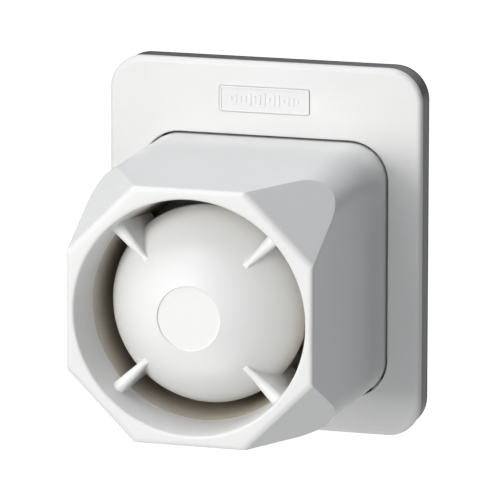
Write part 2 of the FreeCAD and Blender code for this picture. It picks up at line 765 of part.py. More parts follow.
def make_horn_screws():
    """Four countersunk screws that hold the housing's ears to the box."""
    screws = []
    for k, (x, z) in enumerate(EARS):
        name = "horn_screw_%d" % k
        stem = bar(name + "_stem", "screw_radius", "gasket_thick + 1", "ear_front - head_height", x, z)
        head = cone(
            name + "_head", "screw_radius", "screw_radius * 2",
            "ear_front - head_height", "ear_front - 0.05", x, z,
        )
        slot = block(name + "_slot", x, z, "screw_radius * 3", "0.7", "ear_front - 0.8", "1")
        screws.append(cut(name, join(name + "_body", stem, head), slot))
    subpart(group("horn_screw_group", screws), "horn_screws")


# --- Inner horn, reflector cup and throat tube ------------------------------------------------

HORN_POSTS = corners_of("bell_post", "bell_post", "horn_z")
DRIVER_POSTS = corners_of("driver_post", "driver_post", "horn_z")


def make_inner_horn():
    """Dark moulding that carries the bell on behind the lip and closes it at the rear."""
    floor_radius = "inner_mid - inner_bend"
    outline = [
        ("inner_back", "tube_radius + 0.3"),
        ("inner_floor", "tube_radius + 0.3"),
        ("inner_floor", floor_radius),
        ("inner_floor + inner_bend", "inner_mid", "inner_bend", 1),
        ("inner_mid_front", "inner_mid"),
        ("lip_back", "inner_radius"),
        ("lip_back", "flange_radius"),
        ("lip_back - flange_thick", "flange_radius"),
        ("lip_back - flange_thick", "inner_radius + inner_wall"),
        ("inner_mid_front", "inner_mid + inner_wall"),
        ("inner_floor + inner_bend", "inner_mid + inner_wall"),
        ("inner_back", floor_radius, "inner_bend + inner_wall", -1),
    ]
    bell = turned("inner_bell", outline)
    ears = [
        bar("inner_ear_%d" % k, "bell_post_radius + 0.1", "lip_back - flange_thick", "lip_back", x, z)
        for k, (x, z) in enumerate(HORN_POSTS)
    ]
    ears += [
        bar("inner_neck_%d" % k, "bell_post_radius + 0.1", "lip_back - flange_thick", "lip_back", x, z)
        for k, (x, z) in enumerate(corners_of("bell_post - 2.2", "bell_post - 2.2", "horn_z"))
    ]
    bore = turned("inner_ear_limit", [
        ("lip_back - flange_thick - 1", "0"),
        ("lip_back - flange_thick - 1", "inner_radius + 0.3"),
        ("lip_back + 1", "inner_radius + 0.3"),
        ("lip_back + 1", "0"),
    ])
    ring = cut("inner_ears", join("inner_ear_discs", *ears), bore)
    holes = [
        bar("inner_hole_%d" % k, "bell_screw + screw_clear", "lip_back - 4", "lip_back + 1", x, z)
        for k, (x, z) in enumerate(HORN_POSTS)
    ]
    pilots = [
        bar("driver_pilot_%d" % k, "bell_screw + pilot_clear", "inner_back - 1", "inner_floor + 2", x, z)
        for k, (x, z) in enumerate(DRIVER_POSTS)
    ]
    bosses = [
        bar("driver_boss_%d" % k, "bell_post_radius", "inner_floor - 0.5", "inner_floor + 3", x, z)
        for k, (x, z) in enumerate(DRIVER_POSTS)
    ]
    solid = join("inner_horn_solid", bell, ring, *bosses)
    subpart(cut("inner_horn_cut", solid, join("inner_holes", *holes, *pilots)), "inner_horn")


def make_inner_horn_screws():
    """Four screws through the inner horn's flange into the housing's posts."""
    seat = "lip_back - flange_thick"
    screws = [
        screw("bell_screw_%d" % k, "bell_screw", "lip_back + 7", seat, x, z, toward_front=False)
        for k, (x, z) in enumerate(HORN_POSTS)
    ]
    subpart(group("bell_screw_group", screws), "inner_horn_screws")


def make_reflector_cup():
    """White domed cup with a recessed centre disc, carried in the bell by four ribs."""
    rim = "dome_edge - cup_wall"
    shell_outline = [
        ("mouth_front - disc_drop", "0"),
        ("mouth_front - disc_drop", "disc_radius - 0.3"),
        ("mouth_front", "disc_radius"),
        ("dome_edge_front", "dome_edge", "dome_radius", -1),
        ("dome_edge_front - 1.6", "dome_edge"),
        ("skirt_end", "skirt_end_radius"),
        ("skirt_end", "skirt_end_radius - cup_wall"),
        ("dome_edge_front - 2", rim),
        ("mouth_front - disc_drop - cup_wall", "disc_radius - 1.2", "dome_radius - cup_wall", 1),
        ("mouth_front - disc_drop - cup_wall", "0"),
    ]
    shell = turned("cup_shell", shell_outline)
    core_outline = shell_outline[:6] + [("skirt_end", "0")]
    core = turned("cup_core", core_outline)
    bell_outline = [
        ("inner_mid_front", "0"),
        ("inner_mid_front", "inner_mid"),
        ("lip_back", "inner_radius"),
        ("lip_back", "lip_radius"),
        ("mouth_front", "mouth_radius"),
        ("mouth_front", "0"),
    ]
    bell = turned("bell_air", bell_outline)
    arms = []
    for k, angle in enumerate((45, -45)):
        arm = doc.addObject("Part::Box", "rib_arm_%d" % k)
        arm.Placement = FreeCAD.Placement(
            FreeCAD.Vector(0, 0, 0), FreeCAD.Rotation(FreeCAD.Vector(0, 1, 0), angle)
        )
        bind(arm, Length="mouth_radius * 3", Width="rib_front - rib_back", Height="rib_thick")
        turn = math.radians(angle)
        half_long = "mouth_radius * %.9f" % (1.5 * math.cos(turn))
        half_down = "mouth_radius * %.9f" % (1.5 * math.sin(turn))
        thick_x = "rib_thick * %.9f" % (0.5 * math.sin(turn))
        thick_z = "rib_thick * %.9f" % (0.5 * math.cos(turn))
        place(
            arm, "0 - %s - %s" % (half_long, thick_x), "rib_front",
            "horn_z + %s - %s" % (half_down, thick_z),
        )
        arms.append(arm)
    ribs = cut("cup_ribs", common("ribs_in_bell", join("rib_cross", *arms), bell), core)
    subpart(join("reflector_cup_solid", shell, ribs), "reflector_cup")


def make_throat_tube():
    """Tube that leads the sound from the driver forward into the cup."""
    outline = [
        ("frame_front", "throat_radius"),
        ("frame_front", "tube_flange"),
        ("inner_back", "tube_flange"),
        ("inner_back", "tube_radius"),
        ("tube_front", "tube_radius"),
        ("tube_front", "tube_bore + 1.2"),
        ("tube_front - 3", "tube_bore"),
    ]
    subpart(turned("throat_tube_body", outline), "throat_tube")


# --- Compression driver -----------------------------------------------------------------------


def ring(name, node, back, front, bore, radius):
    """A plain ring about the horn's axis."""
    outline = [(back, bore), (back, radius), (front, radius), (front, bore)]
    return subpart(turned(name, outline), node)


def make_driver_frame():
    """Compression plate and rim that close the driver's front. Four screws hold it to the inner horn."""
    outline = [
        ("frame_front", "throat_radius"),
        ("frame_front", "frame_radius"),
        ("frame_back", "frame_radius"),
        ("frame_back", "motor_radius + 1.2"),
        ("clamp_back + 0.1", "motor_radius + 1.2"),
        ("clamp_back + 0.1", "motor_radius + 0.1"),
        ("surround_front", "motor_radius + 0.1"),
        ("surround_front", "motor_radius - 2.5"),
        ("frame_back", "motor_radius - 2.5"),
        ("frame_back", "throat_radius"),
    ]
    body = turned("driver_frame_body", outline)
    holes = [
        bar("frame_hole_%d" % k, "bell_screw + screw_clear", "frame_back - 1", "frame_front + 1", x, z)
        for k, (x, z) in enumerate(DRIVER_POSTS)
    ]
    subpart(cut("driver_frame_cut", body, join("frame_holes", *holes)), "driver_frame")


def make_driver_gasket():
    """Rubber ring between the driver frame and the inner horn."""
    outer = "inner_mid - inner_bend - 0.2"
    outline = [
        ("frame_front", "tube_flange + 0.3"),
        ("frame_front", outer),
        ("inner_back", outer),
        ("inner_back", "tube_flange + 0.3"),
    ]
    body = turned("driver_gasket_body", outline)
    holes = [
        bar("gasket_hole_%d" % k, "bell_screw + screw_clear", "frame_front - 1", "inner_back + 1", x, z)
        for k, (x, z) in enumerate(DRIVER_POSTS)
    ]
    subpart(cut("driver_gasket_cut", body, join("gasket_ring_holes", *holes)), "driver_gasket")


def make_driver_screws():
    """Four screws that hold the driver to the inner horn."""
    tip = "inner_floor + 1.8"
    screws = [
        screw("driver_screw_%d" % k, "bell_screw", tip, "frame_back", x, z, toward_front=False)
        for k, (x, z) in enumerate(DRIVER_POSTS)
    ]
    subpart(group("driver_screw_group", screws), "driver_screws")


def make_diaphragm():
    """Thin domed diaphragm. It moves with the voice coil."""
    outline = [
        ("diaphragm_back + diaphragm_thick", "diaphragm_radius"),
        ("diaphragm_back + diaphragm_rise + diaphragm_thick", "0", "diaphragm_sphere", 1),
        ("diaphragm_back + diaphragm_rise", "0"),
        ("diaphragm_back", "diaphragm_radius", "diaphragm_sphere", -1),
    ]
    subpart(turned("diaphragm_body", outline), "diaphragm")


def make_driver():
    """The driver's motor, diaphragm and rings."""
    make_driver_frame()
    make_driver_gasket()
    make_driver_screws()
    make_diaphragm()
    coil_edge = "coil_radius + coil_thick"
    ring("voice_coil_body", "voice_coil", "coil_back", "coil_front", "coil_radius", coil_edge)
    ring("surround_body", "diaphragm_surround", "clamp_front", "surround_front",
         "diaphragm_radius + 0.5", "motor_radius - 0.1")
    ring("clamp_ring_body", "clamp_ring", "clamp_back", "clamp_front",
         "diaphragm_radius + 1.2", "motor_radius - 0.1")
    ring("top_plate_body", "top_plate", "plate_back", "clamp_back", "plate_bore", "motor_radius")
    ring("magnet_body", "magnet_ring", "magnet_back", "plate_back", "magnet_bore", "motor_radius")
    yoke = [
        ("yoke_back", "0"),
        ("yoke_back", "motor_radius - 0.8"),
        ("yoke_back + 0.8", "motor_radius"),
        ("magnet_back", "motor_radius"),
        ("magnet_back", "0"),
    ]
    subpart(turned("back_plate_body", yoke), "back_plate")
    pole = [
        ("magnet_back", "0"),
        ("magnet_back", "pole_radius"),
        ("clamp_back - 0.5", "pole_radius"),
        ("clamp_back", "pole_radius - 0.5"),
        ("clamp_back", "0"),
    ]
    subpart(turned("pole_piece_body", pole), "pole_piece")


# --- Siren board and what is on it ------------------------------------------------------------

BOARD_FRONT = "board_back + board_thick"
CORNER_HIGH = "horn_z + corner_part"
CORNER_LOW = "horn_z - corner_part"


def make_siren_board():
    """Circuit board behind the driver, with a corner cut away for the supply cable."""
    side = "board_half * 2"
    body = plate("siren_board_body", side, side, "6", "board_back", "board_thick", z="horn_z")
    notch = "board_half - board_notch + 1"
    cut_plate(
        body, "board_cut", notch, notch, "3", "board_back", "board_thick",
        x="0 - board_half / 2 - board_notch / 2 - 0.5",
        z="horn_z - board_half / 2 - board_notch / 2 - 0.5",
    )
    hole = "board_screw + screw_clear"
    cut_holes(body, "board_holes", hole, "board_back", "board_thick", BOARD_POSTS)
    subpart(body, "siren_board")


def make_board_screws():
    """Four screws that hold the board to the box's posts."""
    screws = [
        screw("board_screw_%d" % k, "board_screw", "gasket_thick + 1", BOARD_FRONT, x, z)
        for k, (x, z) in enumerate(BOARD_POSTS)
    ]
    subpart(group("board_screw_group", screws), "board_screws")


def make_tone_chip():
    """Eight-pin tone generator chip with its legs, under the driver."""
    chip_z = "horn_z + chip_place"
    case = block(
        "chip_case", "0", chip_z, "chip_width", "chip_tall", BOARD_FRONT + " + chip_lift", "chip_thick"
    )
    legs = []
    for k in range(4):
        x = "lead_pitch * %.1f" % (k - 1.5)
        for z in (chip_z + " + chip_leg_reach", chip_z + " - chip_leg_reach"):
            legs.append(block("chip_leg_%d" % len(legs), x, z, "0.6", "1.1", BOARD_FRONT, "2.2"))
    subpart(join("tone_chip_solid", case, *legs), "tone_chip")


def make_capacitors():
    """The tall reservoir capacitor in the board's corner and three small ones."""
    top = BOARD_FRONT + " + reservoir_tall"
    outline = [
        (BOARD_FRONT, "0"),
        (BOARD_FRONT, "reservoir_radius"),
        (BOARD_FRONT + " + 1.6", "reservoir_radius"),
        (BOARD_FRONT + " + 2.1", "reservoir_radius - 0.3"),
        (BOARD_FRONT + " + 2.6", "reservoir_radius"),
        (top + " - 0.4", "reservoir_radius"),
        (top, "reservoir_radius - 0.4"),
        (top, "0"),
    ]
    body = turned("reservoir_body", outline, "corner_part", CORNER_HIGH)
    subpart(body, "reservoir_capacitor")
    small_z = "horn_z + small_cap_place"
    small_top = BOARD_FRONT + " + small_cap_tall"
    small = [
        bar("small_capacitor_%d" % k, "small_cap_radius", BOARD_FRONT, small_top, x, small_z)
        for k, x in enumerate(("0 - 12", "12", "18"))
    ]
    subpart(group("small_capacitor_group", small), "small_capacitors")


def upright(name, radius, length, x, front, z):
    """A round bar along Z that starts at z."""
    solid = doc.addObject("Part::Cylinder", name)
    bind(solid, Radius=radius, Height=length)
    place(solid, x, front, z)
    return solid


def make_resistors():
    """Six resistors lying on the board under the driver."""
    low_end = "horn_z - resistor_place - resistor_long / 2"
    high_end = "horn_z - resistor_place + resistor_long / 2"
    front = BOARD_FRONT + " + resistor_radius + 0.1"
    resistors = []
    for k in range(6):
        x = "resistor_pitch * %.1f" % (k - 2.5)
        name = "resistor_%d" % k
        pieces = [upright(name + "_body", "resistor_radius", "resistor_long", x, front, low_end)]
        for end, z in enumerate((low_end, high_end + " - resistor_cap")):
            cap_name = "%s_cap_%d" % (name, end)
            pieces.append(upright(cap_name, "resistor_radius + 0.1", "resistor_cap", x, front, z))
        resistors.append(join(name + "_solid", *pieces))
    subpart(group("resistor_group", resistors), "resistors")


def make_power_stage():
    """Output transistor on a finned heat sink, and the step-up inductor."""
    base_z = CORNER_LOW + " - 3"
    sinks = [
        block("sink_base", "corner_part", base_z, "sink_width", "sink_thick", BOARD_FRONT, "sink_tall")
    ]
    for k in range(5):
        x = "corner_part + fin_pitch * %d" % (k - 2)
        z = CORNER_LOW + " - 6"
        sinks.append(block("sink_fin_%d" % k, x, z, "fin_thick", "fin_long", BOARD_FRONT, "sink_tall"))
    subpart(join("heat_sink_solid", *sinks), "heat_sink")
    case = block(
        "transistor_case", "corner_part", CORNER_LOW + " + 0.5", "transistor_width", "transistor_thick",
        BOARD_FRONT + " + transistor_lift", "transistor_tall",
    )
    legs = []
    for k in range(3):
        x = "corner_part + lead_pitch * %d" % (k - 1)
        long = "transistor_lift + 1"
        legs.append(block("transistor_leg_%d" % k, x, CORNER_LOW, "0.8", "0.6", BOARD_FRONT, long))
    subpart(join("transistor_solid", case, *legs), "output_transistor")
    top = BOARD_FRONT + " + inductor_tall"
    outline = [
        (BOARD_FRONT, "0"),
        (BOARD_FRONT, "inductor_radius"),
        (BOARD_FRONT + " + 1.4", "inductor_radius"),
        (BOARD_FRONT + " + 1.8", "inductor_waist"),
        (top + " - 1.8", "inductor_waist"),
        (top + " - 1.4", "inductor_radius"),
        (top, "inductor_radius"),
        (top, "0"),
    ]
    subpart(turned("inductor_body", outline, "0", "horn_z - inductor_place"), "step_up_inductor")


TERMINAL_X = "0 - corner_part"
TERMINAL_TOP = BOARD_FRONT + " + terminal_rise"


def make_terminal_block():
    """Three-way terminal block in the board's corner, with three clamp screws that turn."""
    width = "pole_pitch * 3"
    case = block(
        "terminal_case", TERMINAL_X, CORNER_HIGH, width, "terminal_depth", BOARD_FRONT, "terminal_rise"
    )
    tools = []
    places = ["%s + pole_pitch * %d" % (TERMINAL_X, k - 1) for k in range(3)]
    for k, x in enumerate(places):
        well = "terminal_well_%d" % k
        well_back = BOARD_FRONT + " + 5"
        tools.append(bar(well, "terminal_screw + 0.3", well_back, TERMINAL_TOP + " + 1", x, CORNER_HIGH))
        entry = "terminal_entry_%d" % k
        entry_back = BOARD_FRONT + " + 1.4"
        tools.append(block(entry, x, CORNER_HIGH + " - 3", "3.2", "6.4", entry_back, "3.4"))
    subpart(cut("terminal_block_solid", case, join("terminal_wells", *tools)), "terminal_block")
    for k, x in enumerate(places, start=1):
        name = "terminal_screw_%d" % k
        low, high = BOARD_FRONT + " + 5.3", TERMINAL_TOP + " - 0.8"
        stem = bar(name + "_stem", "terminal_screw", low, high, x, CORNER_HIGH)
        slot_back = TERMINAL_TOP + " - 1.8"
        slot = block(name + "_slot", x, CORNER_HIGH, "terminal_screw * 3", "0.7", slot_back, "1.2")
        subpart(cut(name + "_solid", stem, slot), name)


SWITCH_X = "0 - 31"
SWITCH_Z = "horn_z + 2"


def make_tone_switch():
    """Two-position slide switch that chooses the tone."""
    case = block("switch_case", SWITCH_X, SWITCH_Z, "4.4", "9", BOARD_FRONT, "3.6")
    slot = block("switch_slot", SWITCH_X, SWITCH_Z, "2.2", "5.4", BOARD_FRONT + " + 1.2", "4")
    subpart(cut("tone_switch_solid", case, slot), "tone_switch")
    nub = block("switch_nub", SWITCH_X, SWITCH_Z + " - 1.2", "1.6", "2.4", BOARD_FRONT + " + 1.5", "4")
    subpart(nub, "tone_slider")


# --- Tamper switch ----------------------------------------------------------------------------


def make_tamper_switch():
    """Small switch on the box floor. The cover holds its sprung plunger down."""
    body = plate(
        "tamper_switch_body", "tamper_half * 2", "tamper_tall * 2", "0.8", FLOOR,
        "tamper_front - gasket_thick - box_floor", z="tamper_z",
    )
    spot = [("0", "tamper_z")]
    cut_holes(body, "tamper_chamber", "tamper_room", FLOOR + " + 0.2", "3.4", spot)
    cut_holes(body, "tamper_bore", "plunger_radius + 0.08", FLOOR + " + 0.2", "cover_front", spot)
    subpart(body, "tamper_switch")
    outline = [
        ("collar_back", "0"),
        ("collar_back", "collar_radius"),
        ("collar_back + 0.5", "collar_radius"),
        ("collar_back + 0.5", "plunger_radius"),
        (COVER_BACK + " - 0.35", "plunger_radius"),
        (COVER_BACK + " - 0.05", "plunger_radius - 0.4"),
        (COVER_BACK + " - 0.05", "0"),
    ]
    subpart(turned("tamper_plunger_body", outline, "0", "tamper_z"), "tamper_plunger")


def make_tamper_spring():
    """Coil spring under the plunger's collar."""
    wire = 0.11
    start = number(FLOOR) + 0.2 + wire
    end = number("collar_back") - wire
    turns = 3
    mean = 1.55
    helix = Part.makeHelix((end - start) / turns, end - start, mean)
    circle = Part.Circle(FreeCAD.Vector(mean, 0, 0), FreeCAD.Vector(0, 1, 0), wire)
    section = Part.Wire([circle.toShape()])
    coil = Part.Wire(helix.Edges).makePipeShell([section], True, True)
    spring = doc.addObject("Part::Feature", "tamper_spring_coil")
    spring.Shape = coil
    place_at = FreeCAD.Vector(0, -start, number("tamper_z"))
    spring.Placement = FreeCAD.Placement(place_at, FORWARD)
    subpart(spring, "tamper_spring")


# --- Leads ------------------------------------------------------------------------------------


def tube_along(points, radius, bend):
    """A round lead along straight runs joined by tangent arcs. Its volume is compared with its length."""
    corners = [FreeCAD.Vector(*p) for p in points]
    edges = []
    here = corners[0]
    for before, corner, after in zip(corners, corners[1:], corners[2:]):
        into = (corner - before).normalize()
        away = (after - corner).normalize()
        turn = into.getAngle(away)
        reach = bend * math.tan(turn / 2)
        start = corner - into * reach
        end = corner + away * reach
        middle_way = (away - into).normalize()
        centre = corner + middle_way * (bend / math.cos(turn / 2))
        middle = centre - middle_way * bend
        edges.append(Part.LineSegment(here, start).toShape())
        edges.append(Part.Arc(start, middle, end).toShape())
        here = end
    edges.append(Part.LineSegment(here, corners[-1]).toShape())
    path = Part.Wire(edges)
    direction = (corners[1] - corners[0]).normalize()
    section = Part.Wire([Part.Circle(corners[0], direction, radius).toShape()])
    solid = path.makePipeShell([section], True, False)
    expected = math.pi * radius**2 * path.Length
    if abs(solid.Volume - expected) > 0.02 * expected:
        raise ValueError("a lead's volume is not its section times its length")
    return solid


def feature(name, shapes):
    """A document object that holds finished shapes."""
    thing = doc.addObject("Part::Feature", name)
    thing.Shape = shapes[0] if len(shapes) == 1 else Part.Compound(shapes)
    return thing


def make_leads():
    """Driver leads from the board to the driver's tags, and the tamper switch's pair of leads."""
    axis = number("horn_z")
    board = number(BOARD_FRONT)
    tag_front = number("clamp_front") + 1.0
    rise = number("motor_radius") + 9.0
    for name, x in (("driver_lead_red", 5.0), ("driver_lead_black", -5.0)):
        route = [
            (x, -board, axis + rise),
            (x, -tag_front, axis + rise),
            (x, -tag_front, axis + number("motor_radius") + 2.7),
        ]
        subpart(feature(name + "_wire", [tube_along(route, number("lead_radius"), 2.4)]), name)
    thin = number("thin_lead_radius")
    floor_front = number("horn_back") + 1.0
    pair = []
    for x in (-2.0, 2.0):
        route = [
            (x, -floor_front, number("tamper_z") - number("tamper_tall")),
            (x, -floor_front, 36.0),
            (x, -board - 0.8, 32.6),
            (x, -board - 0.8, 27.0),
        ]
        pair.append(tube_along(route, thin, 3.0))
    subpart(feature("tamper_lead_wires", pair), "tamper_leads")


def make_driver_tags():
    """Two solder tags on the driver frame's rim, where the driver leads end."""
    tags = []
    for k, x in enumerate(("5", "0 - 5")):
        tag_back = "clamp_front + 0.4"
        tag_z = "horn_z + motor_radius + 1.6"
        tags.append(block("driver_tag_%d" % k, x, tag_z, "2.6", "2.2", tag_back, "1.2"))
    subpart(group("driver_tag_group", tags), "driver_tags")


def build():
    """Makes every sub-part."""
    make_back_box()
    make_wall_gasket()
    make_cable_grommet()
    make_front_cover()
    make_badge()
    make_horn_housing()
    make_horn_seal()
    make_horn_screws()
    make_inner_horn()
    make_inner_horn_screws()
    make_reflector_cup()
    make_throat_tube()
    make_driver()
    make_siren_board()
    make_board_screws()
    make_tone_chip()
    make_capacitors()
    make_resistors()
    make_power_stage()
    make_terminal_block()
    make_tone_switch()
    make_tamper_switch()
    make_tamper_spring()
    make_leads()
    make_driver_tags()


def write():
    """Checks every object and sub-part, then writes one STEP file for each sub-part."""
    doc.recompute()
    for thing in doc.Objects:
        if "Invalid" in thing.State or "Error" in thing.State:
            raise RuntimeError("%s: %s" % (thing.Label, thing.State))
    for thing in SUBPARTS:
        if thing.Shape.isNull() or not thing.Shape.isValid() or thing.Shape.Volume <= 0:
            raise RuntimeError(thing.Label + " has no valid solid")
    os.makedirs("parts", exist_ok=True)
    for thing in SUBPARTS:
        thing.Shape.exportStep(os.path.join("parts", thing.Label + ".step"))
        print(thing.Label, len(thing.Shape.Solids), "solids", round(thing.Shape.Volume), "mm3")


build()
write()
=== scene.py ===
"""Looks of a wall-mounted alarm siren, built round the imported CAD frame.

Frame: X to the right, Y into the wall, Z up, metres. The wall face is at y = 0 and the horn points
along -Y. A "front" distance is measured from the wall, so front = -y. Sizes below are in millimetres
and MM turns them into metres.
"""

import json
import math

import bmesh
import bpy
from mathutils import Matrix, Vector


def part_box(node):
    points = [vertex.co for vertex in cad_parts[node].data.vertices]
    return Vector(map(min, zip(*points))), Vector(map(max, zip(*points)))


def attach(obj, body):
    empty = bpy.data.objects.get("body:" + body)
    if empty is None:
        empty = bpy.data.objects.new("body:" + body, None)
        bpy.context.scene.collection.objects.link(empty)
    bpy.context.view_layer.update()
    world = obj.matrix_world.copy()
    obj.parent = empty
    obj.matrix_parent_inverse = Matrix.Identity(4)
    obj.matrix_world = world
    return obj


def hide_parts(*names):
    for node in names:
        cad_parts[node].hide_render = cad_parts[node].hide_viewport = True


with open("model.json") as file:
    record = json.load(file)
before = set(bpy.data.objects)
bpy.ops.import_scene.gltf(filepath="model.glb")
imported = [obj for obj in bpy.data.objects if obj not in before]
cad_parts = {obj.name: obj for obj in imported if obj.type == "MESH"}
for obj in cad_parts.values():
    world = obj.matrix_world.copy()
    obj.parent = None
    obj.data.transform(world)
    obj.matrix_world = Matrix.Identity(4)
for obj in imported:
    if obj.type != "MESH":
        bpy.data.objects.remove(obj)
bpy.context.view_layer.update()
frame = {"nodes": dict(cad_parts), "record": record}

MM = 0.001
NODES = frame["nodes"]

# --- Sizes, in millimetres, worked out from the frame where it holds them -------------------------


def box_mm(node):
    """(low, high) corners of a CAD node, in millimetres."""
    low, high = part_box(node)
    return low / MM, high / MM


COVER_LOW, COVER_HIGH = box_mm("front_cover")
COVER_FRONT = -COVER_LOW.y
COVER_HALF_X = (COVER_HIGH.x - COVER_LOW.x) / 2
COVER_HALF_Z = (COVER_HIGH.z - COVER_LOW.z) / 2
COVER_CORNER = 12.5
COVER_THICK = 2.2
COVER_BACK = COVER_FRONT - COVER_THICK
COVER_EDGE = 1.9
FLAT_MARGIN = 0.5
SKIRT_BACK = -COVER_HIGH.y
SKIRT_INSET = 2.9
SKIRT_THICK = 1.6
WINDOW_GAP = 0.7
WINDOW_EDGE = 0.45

CUP_LOW, CUP_HIGH = box_mm("reflector_cup")
HORN_Z = (CUP_LOW.z + CUP_HIGH.z) / 2
MOUTH_FRONT = -box_mm("horn_housing")[0].y
HOUSING_BACK = 4.2
REAR_HALF_X = 44.6
REAR_HALF_Z = 45.6
MOUTH_HALF_X = 44.0
MOUTH_HALF_Z = 45.0
HORN_CORNER = 13.3
HORN_WALL = 2.2
FACET_CUT = 17.5
FACET_LENGTH = 47.2
FACET_AT_MOUTH = (MOUTH_HALF_X + MOUTH_HALF_Z) / math.sqrt(2) - FACET_CUT
RIM_EDGE = 1.6
MOUTH_RADIUS = 41.2
MOUTH_EDGE = 0.9
LIP_BACK = 85.0
LIP_RADIUS = 39.7
BELL_FRONT = 58.0
BELL_RADIUS = 36.6
BELL_END_RADIUS = 39.6
FACET_EDGE = 0.9
EAR_X = 43.7
EAR_Z = 44.7
EAR_RADIUS = 5.0
EAR_BACK = 6.2
EAR_FRONT = 8.8
EAR_HOLE = 1.65
EAR_SINK = 3.1
EAR_SINK_DEPTH = 1.75
BEVEL = 0.3
REAR_BEVEL = 0.25
STRAIGHT_FRONT = 56

DOME_EDGE = 34.8
DOME_EDGE_FRONT = 78.0
DISC_RADIUS = 11.3
DISC_DROP = 0.5
DISC_STEP_IN = 0.4
DISC_STEP_OUT = 0.05
DOME_EDGE_WALL = 0.8
AXIS = 0.01
CUP_WALL = 1.8
CUP_BACK = -CUP_HIGH.y
CUP_BACK_RADIUS = 31.0
DOME_CENTRE = (MOUTH_FRONT**2 + DISC_RADIUS**2 - DOME_EDGE_FRONT**2 - DOME_EDGE**2) / (
    2 * (MOUTH_FRONT - DOME_EDGE_FRONT)
)
DOME_RADIUS = math.hypot(MOUTH_FRONT - DOME_CENTRE, DISC_RADIUS)
RIB_HALF_INNER = 1.0
RIB_HALF_OUTER = 2.4
RIB_FRONT = 94.0
RIB_BACK = 66.0
RIB_FILLET = 1.6
RIB_ROOT = 33.2
RIB_SINK = 0.5

BADGE_LOW, BADGE_HIGH = box_mm("badge")
BADGE_FRONT = -BADGE_LOW.y
BADGE_BACK = -BADGE_HIGH.y
BADGE_Z = (BADGE_LOW.z + BADGE_HIGH.z) / 2
BADGE_HALF_X = (BADGE_HIGH.x - BADGE_LOW.x) / 2
BADGE_HALF_Z = (BADGE_HIGH.z - BADGE_LOW.z) / 2
BADGE_BORDER = 0.7
BADGE_BEVEL = 0.12
BADGE_SINK = 0.25
SEAT_GAP = 0.2
SEAT_CORNER = 1.0
BARS = 15
BAR_PITCH = 1.75
BAR_HALF = 0.42

ARC_STEPS = 10
FLAT_STEPS = 14
FACET_STEPS = 8
TURN_STEPS = 240


# --- Mesh helpers --------------------------------------------------------------------------------


def at(x, front, z):
    """A point of the row frame, in metres, from millimetres."""
    return Vector((x * MM, -front * MM, z * MM))


def lerp(a, b, t):
    return a + (b - a) * t


def steps(start, end, count):
    """count + 1 even values from start to end."""
    return [lerp(start, end, k / count) for k in range(count + 1)]


def new_object(name, rings_or_mesh, body, material):
    """Links a mesh as a piece that rides on a body and takes its finish from a slot."""
    piece = bpy.data.objects.new(name, rings_or_mesh)
    bpy.context.scene.collection.objects.link(piece)
    piece.data.materials.append(material)
    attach(piece, body)
    return piece


def finish_mesh(mesh_tool, name, smooth_angle=32):
    """Welds, orients and shades a bmesh, and returns it as a mesh."""
    bmesh.ops.remove_doubles(mesh_tool, verts=mesh_tool.verts, dist=0.00002)
    bmesh.ops.dissolve_degenerate(mesh_tool, edges=mesh_tool.edges, dist=0.00001)
    bmesh.ops.recalc_face_normals(mesh_tool, faces=mesh_tool.faces)
    mesh = bpy.data.meshes.new(name)
    mesh_tool.to_mesh(mesh)
    mesh_tool.free()
    mesh.polygons.foreach_set("use_smooth", [True] * len(mesh.polygons))
    mesh.set_sharp_from_angle(angle=math.radians(smooth_angle))
    return mesh


def skin(tool, rings, closed_rings=True, closed_loop=False, caps=False):
    """Quads between rings of points. closed_loop joins the last ring to the first."""
    made = [[tool.verts.new(point) for point in ring] for ring in rings]
    pairs = list(zip(made, made[1:]))
    if closed_loop:
        pairs.append((made[-1], made[0]))
    count = len(made[0])
    for low, high in pairs:
        for k in range(count if closed_rings else count - 1):
            after = (k + 1) % count
            tool.faces.new((low[k], low[after], high[after], high[k]))
    if caps:
        tool.faces.new(made[0])
        tool.faces.new(made[-1])
    return made


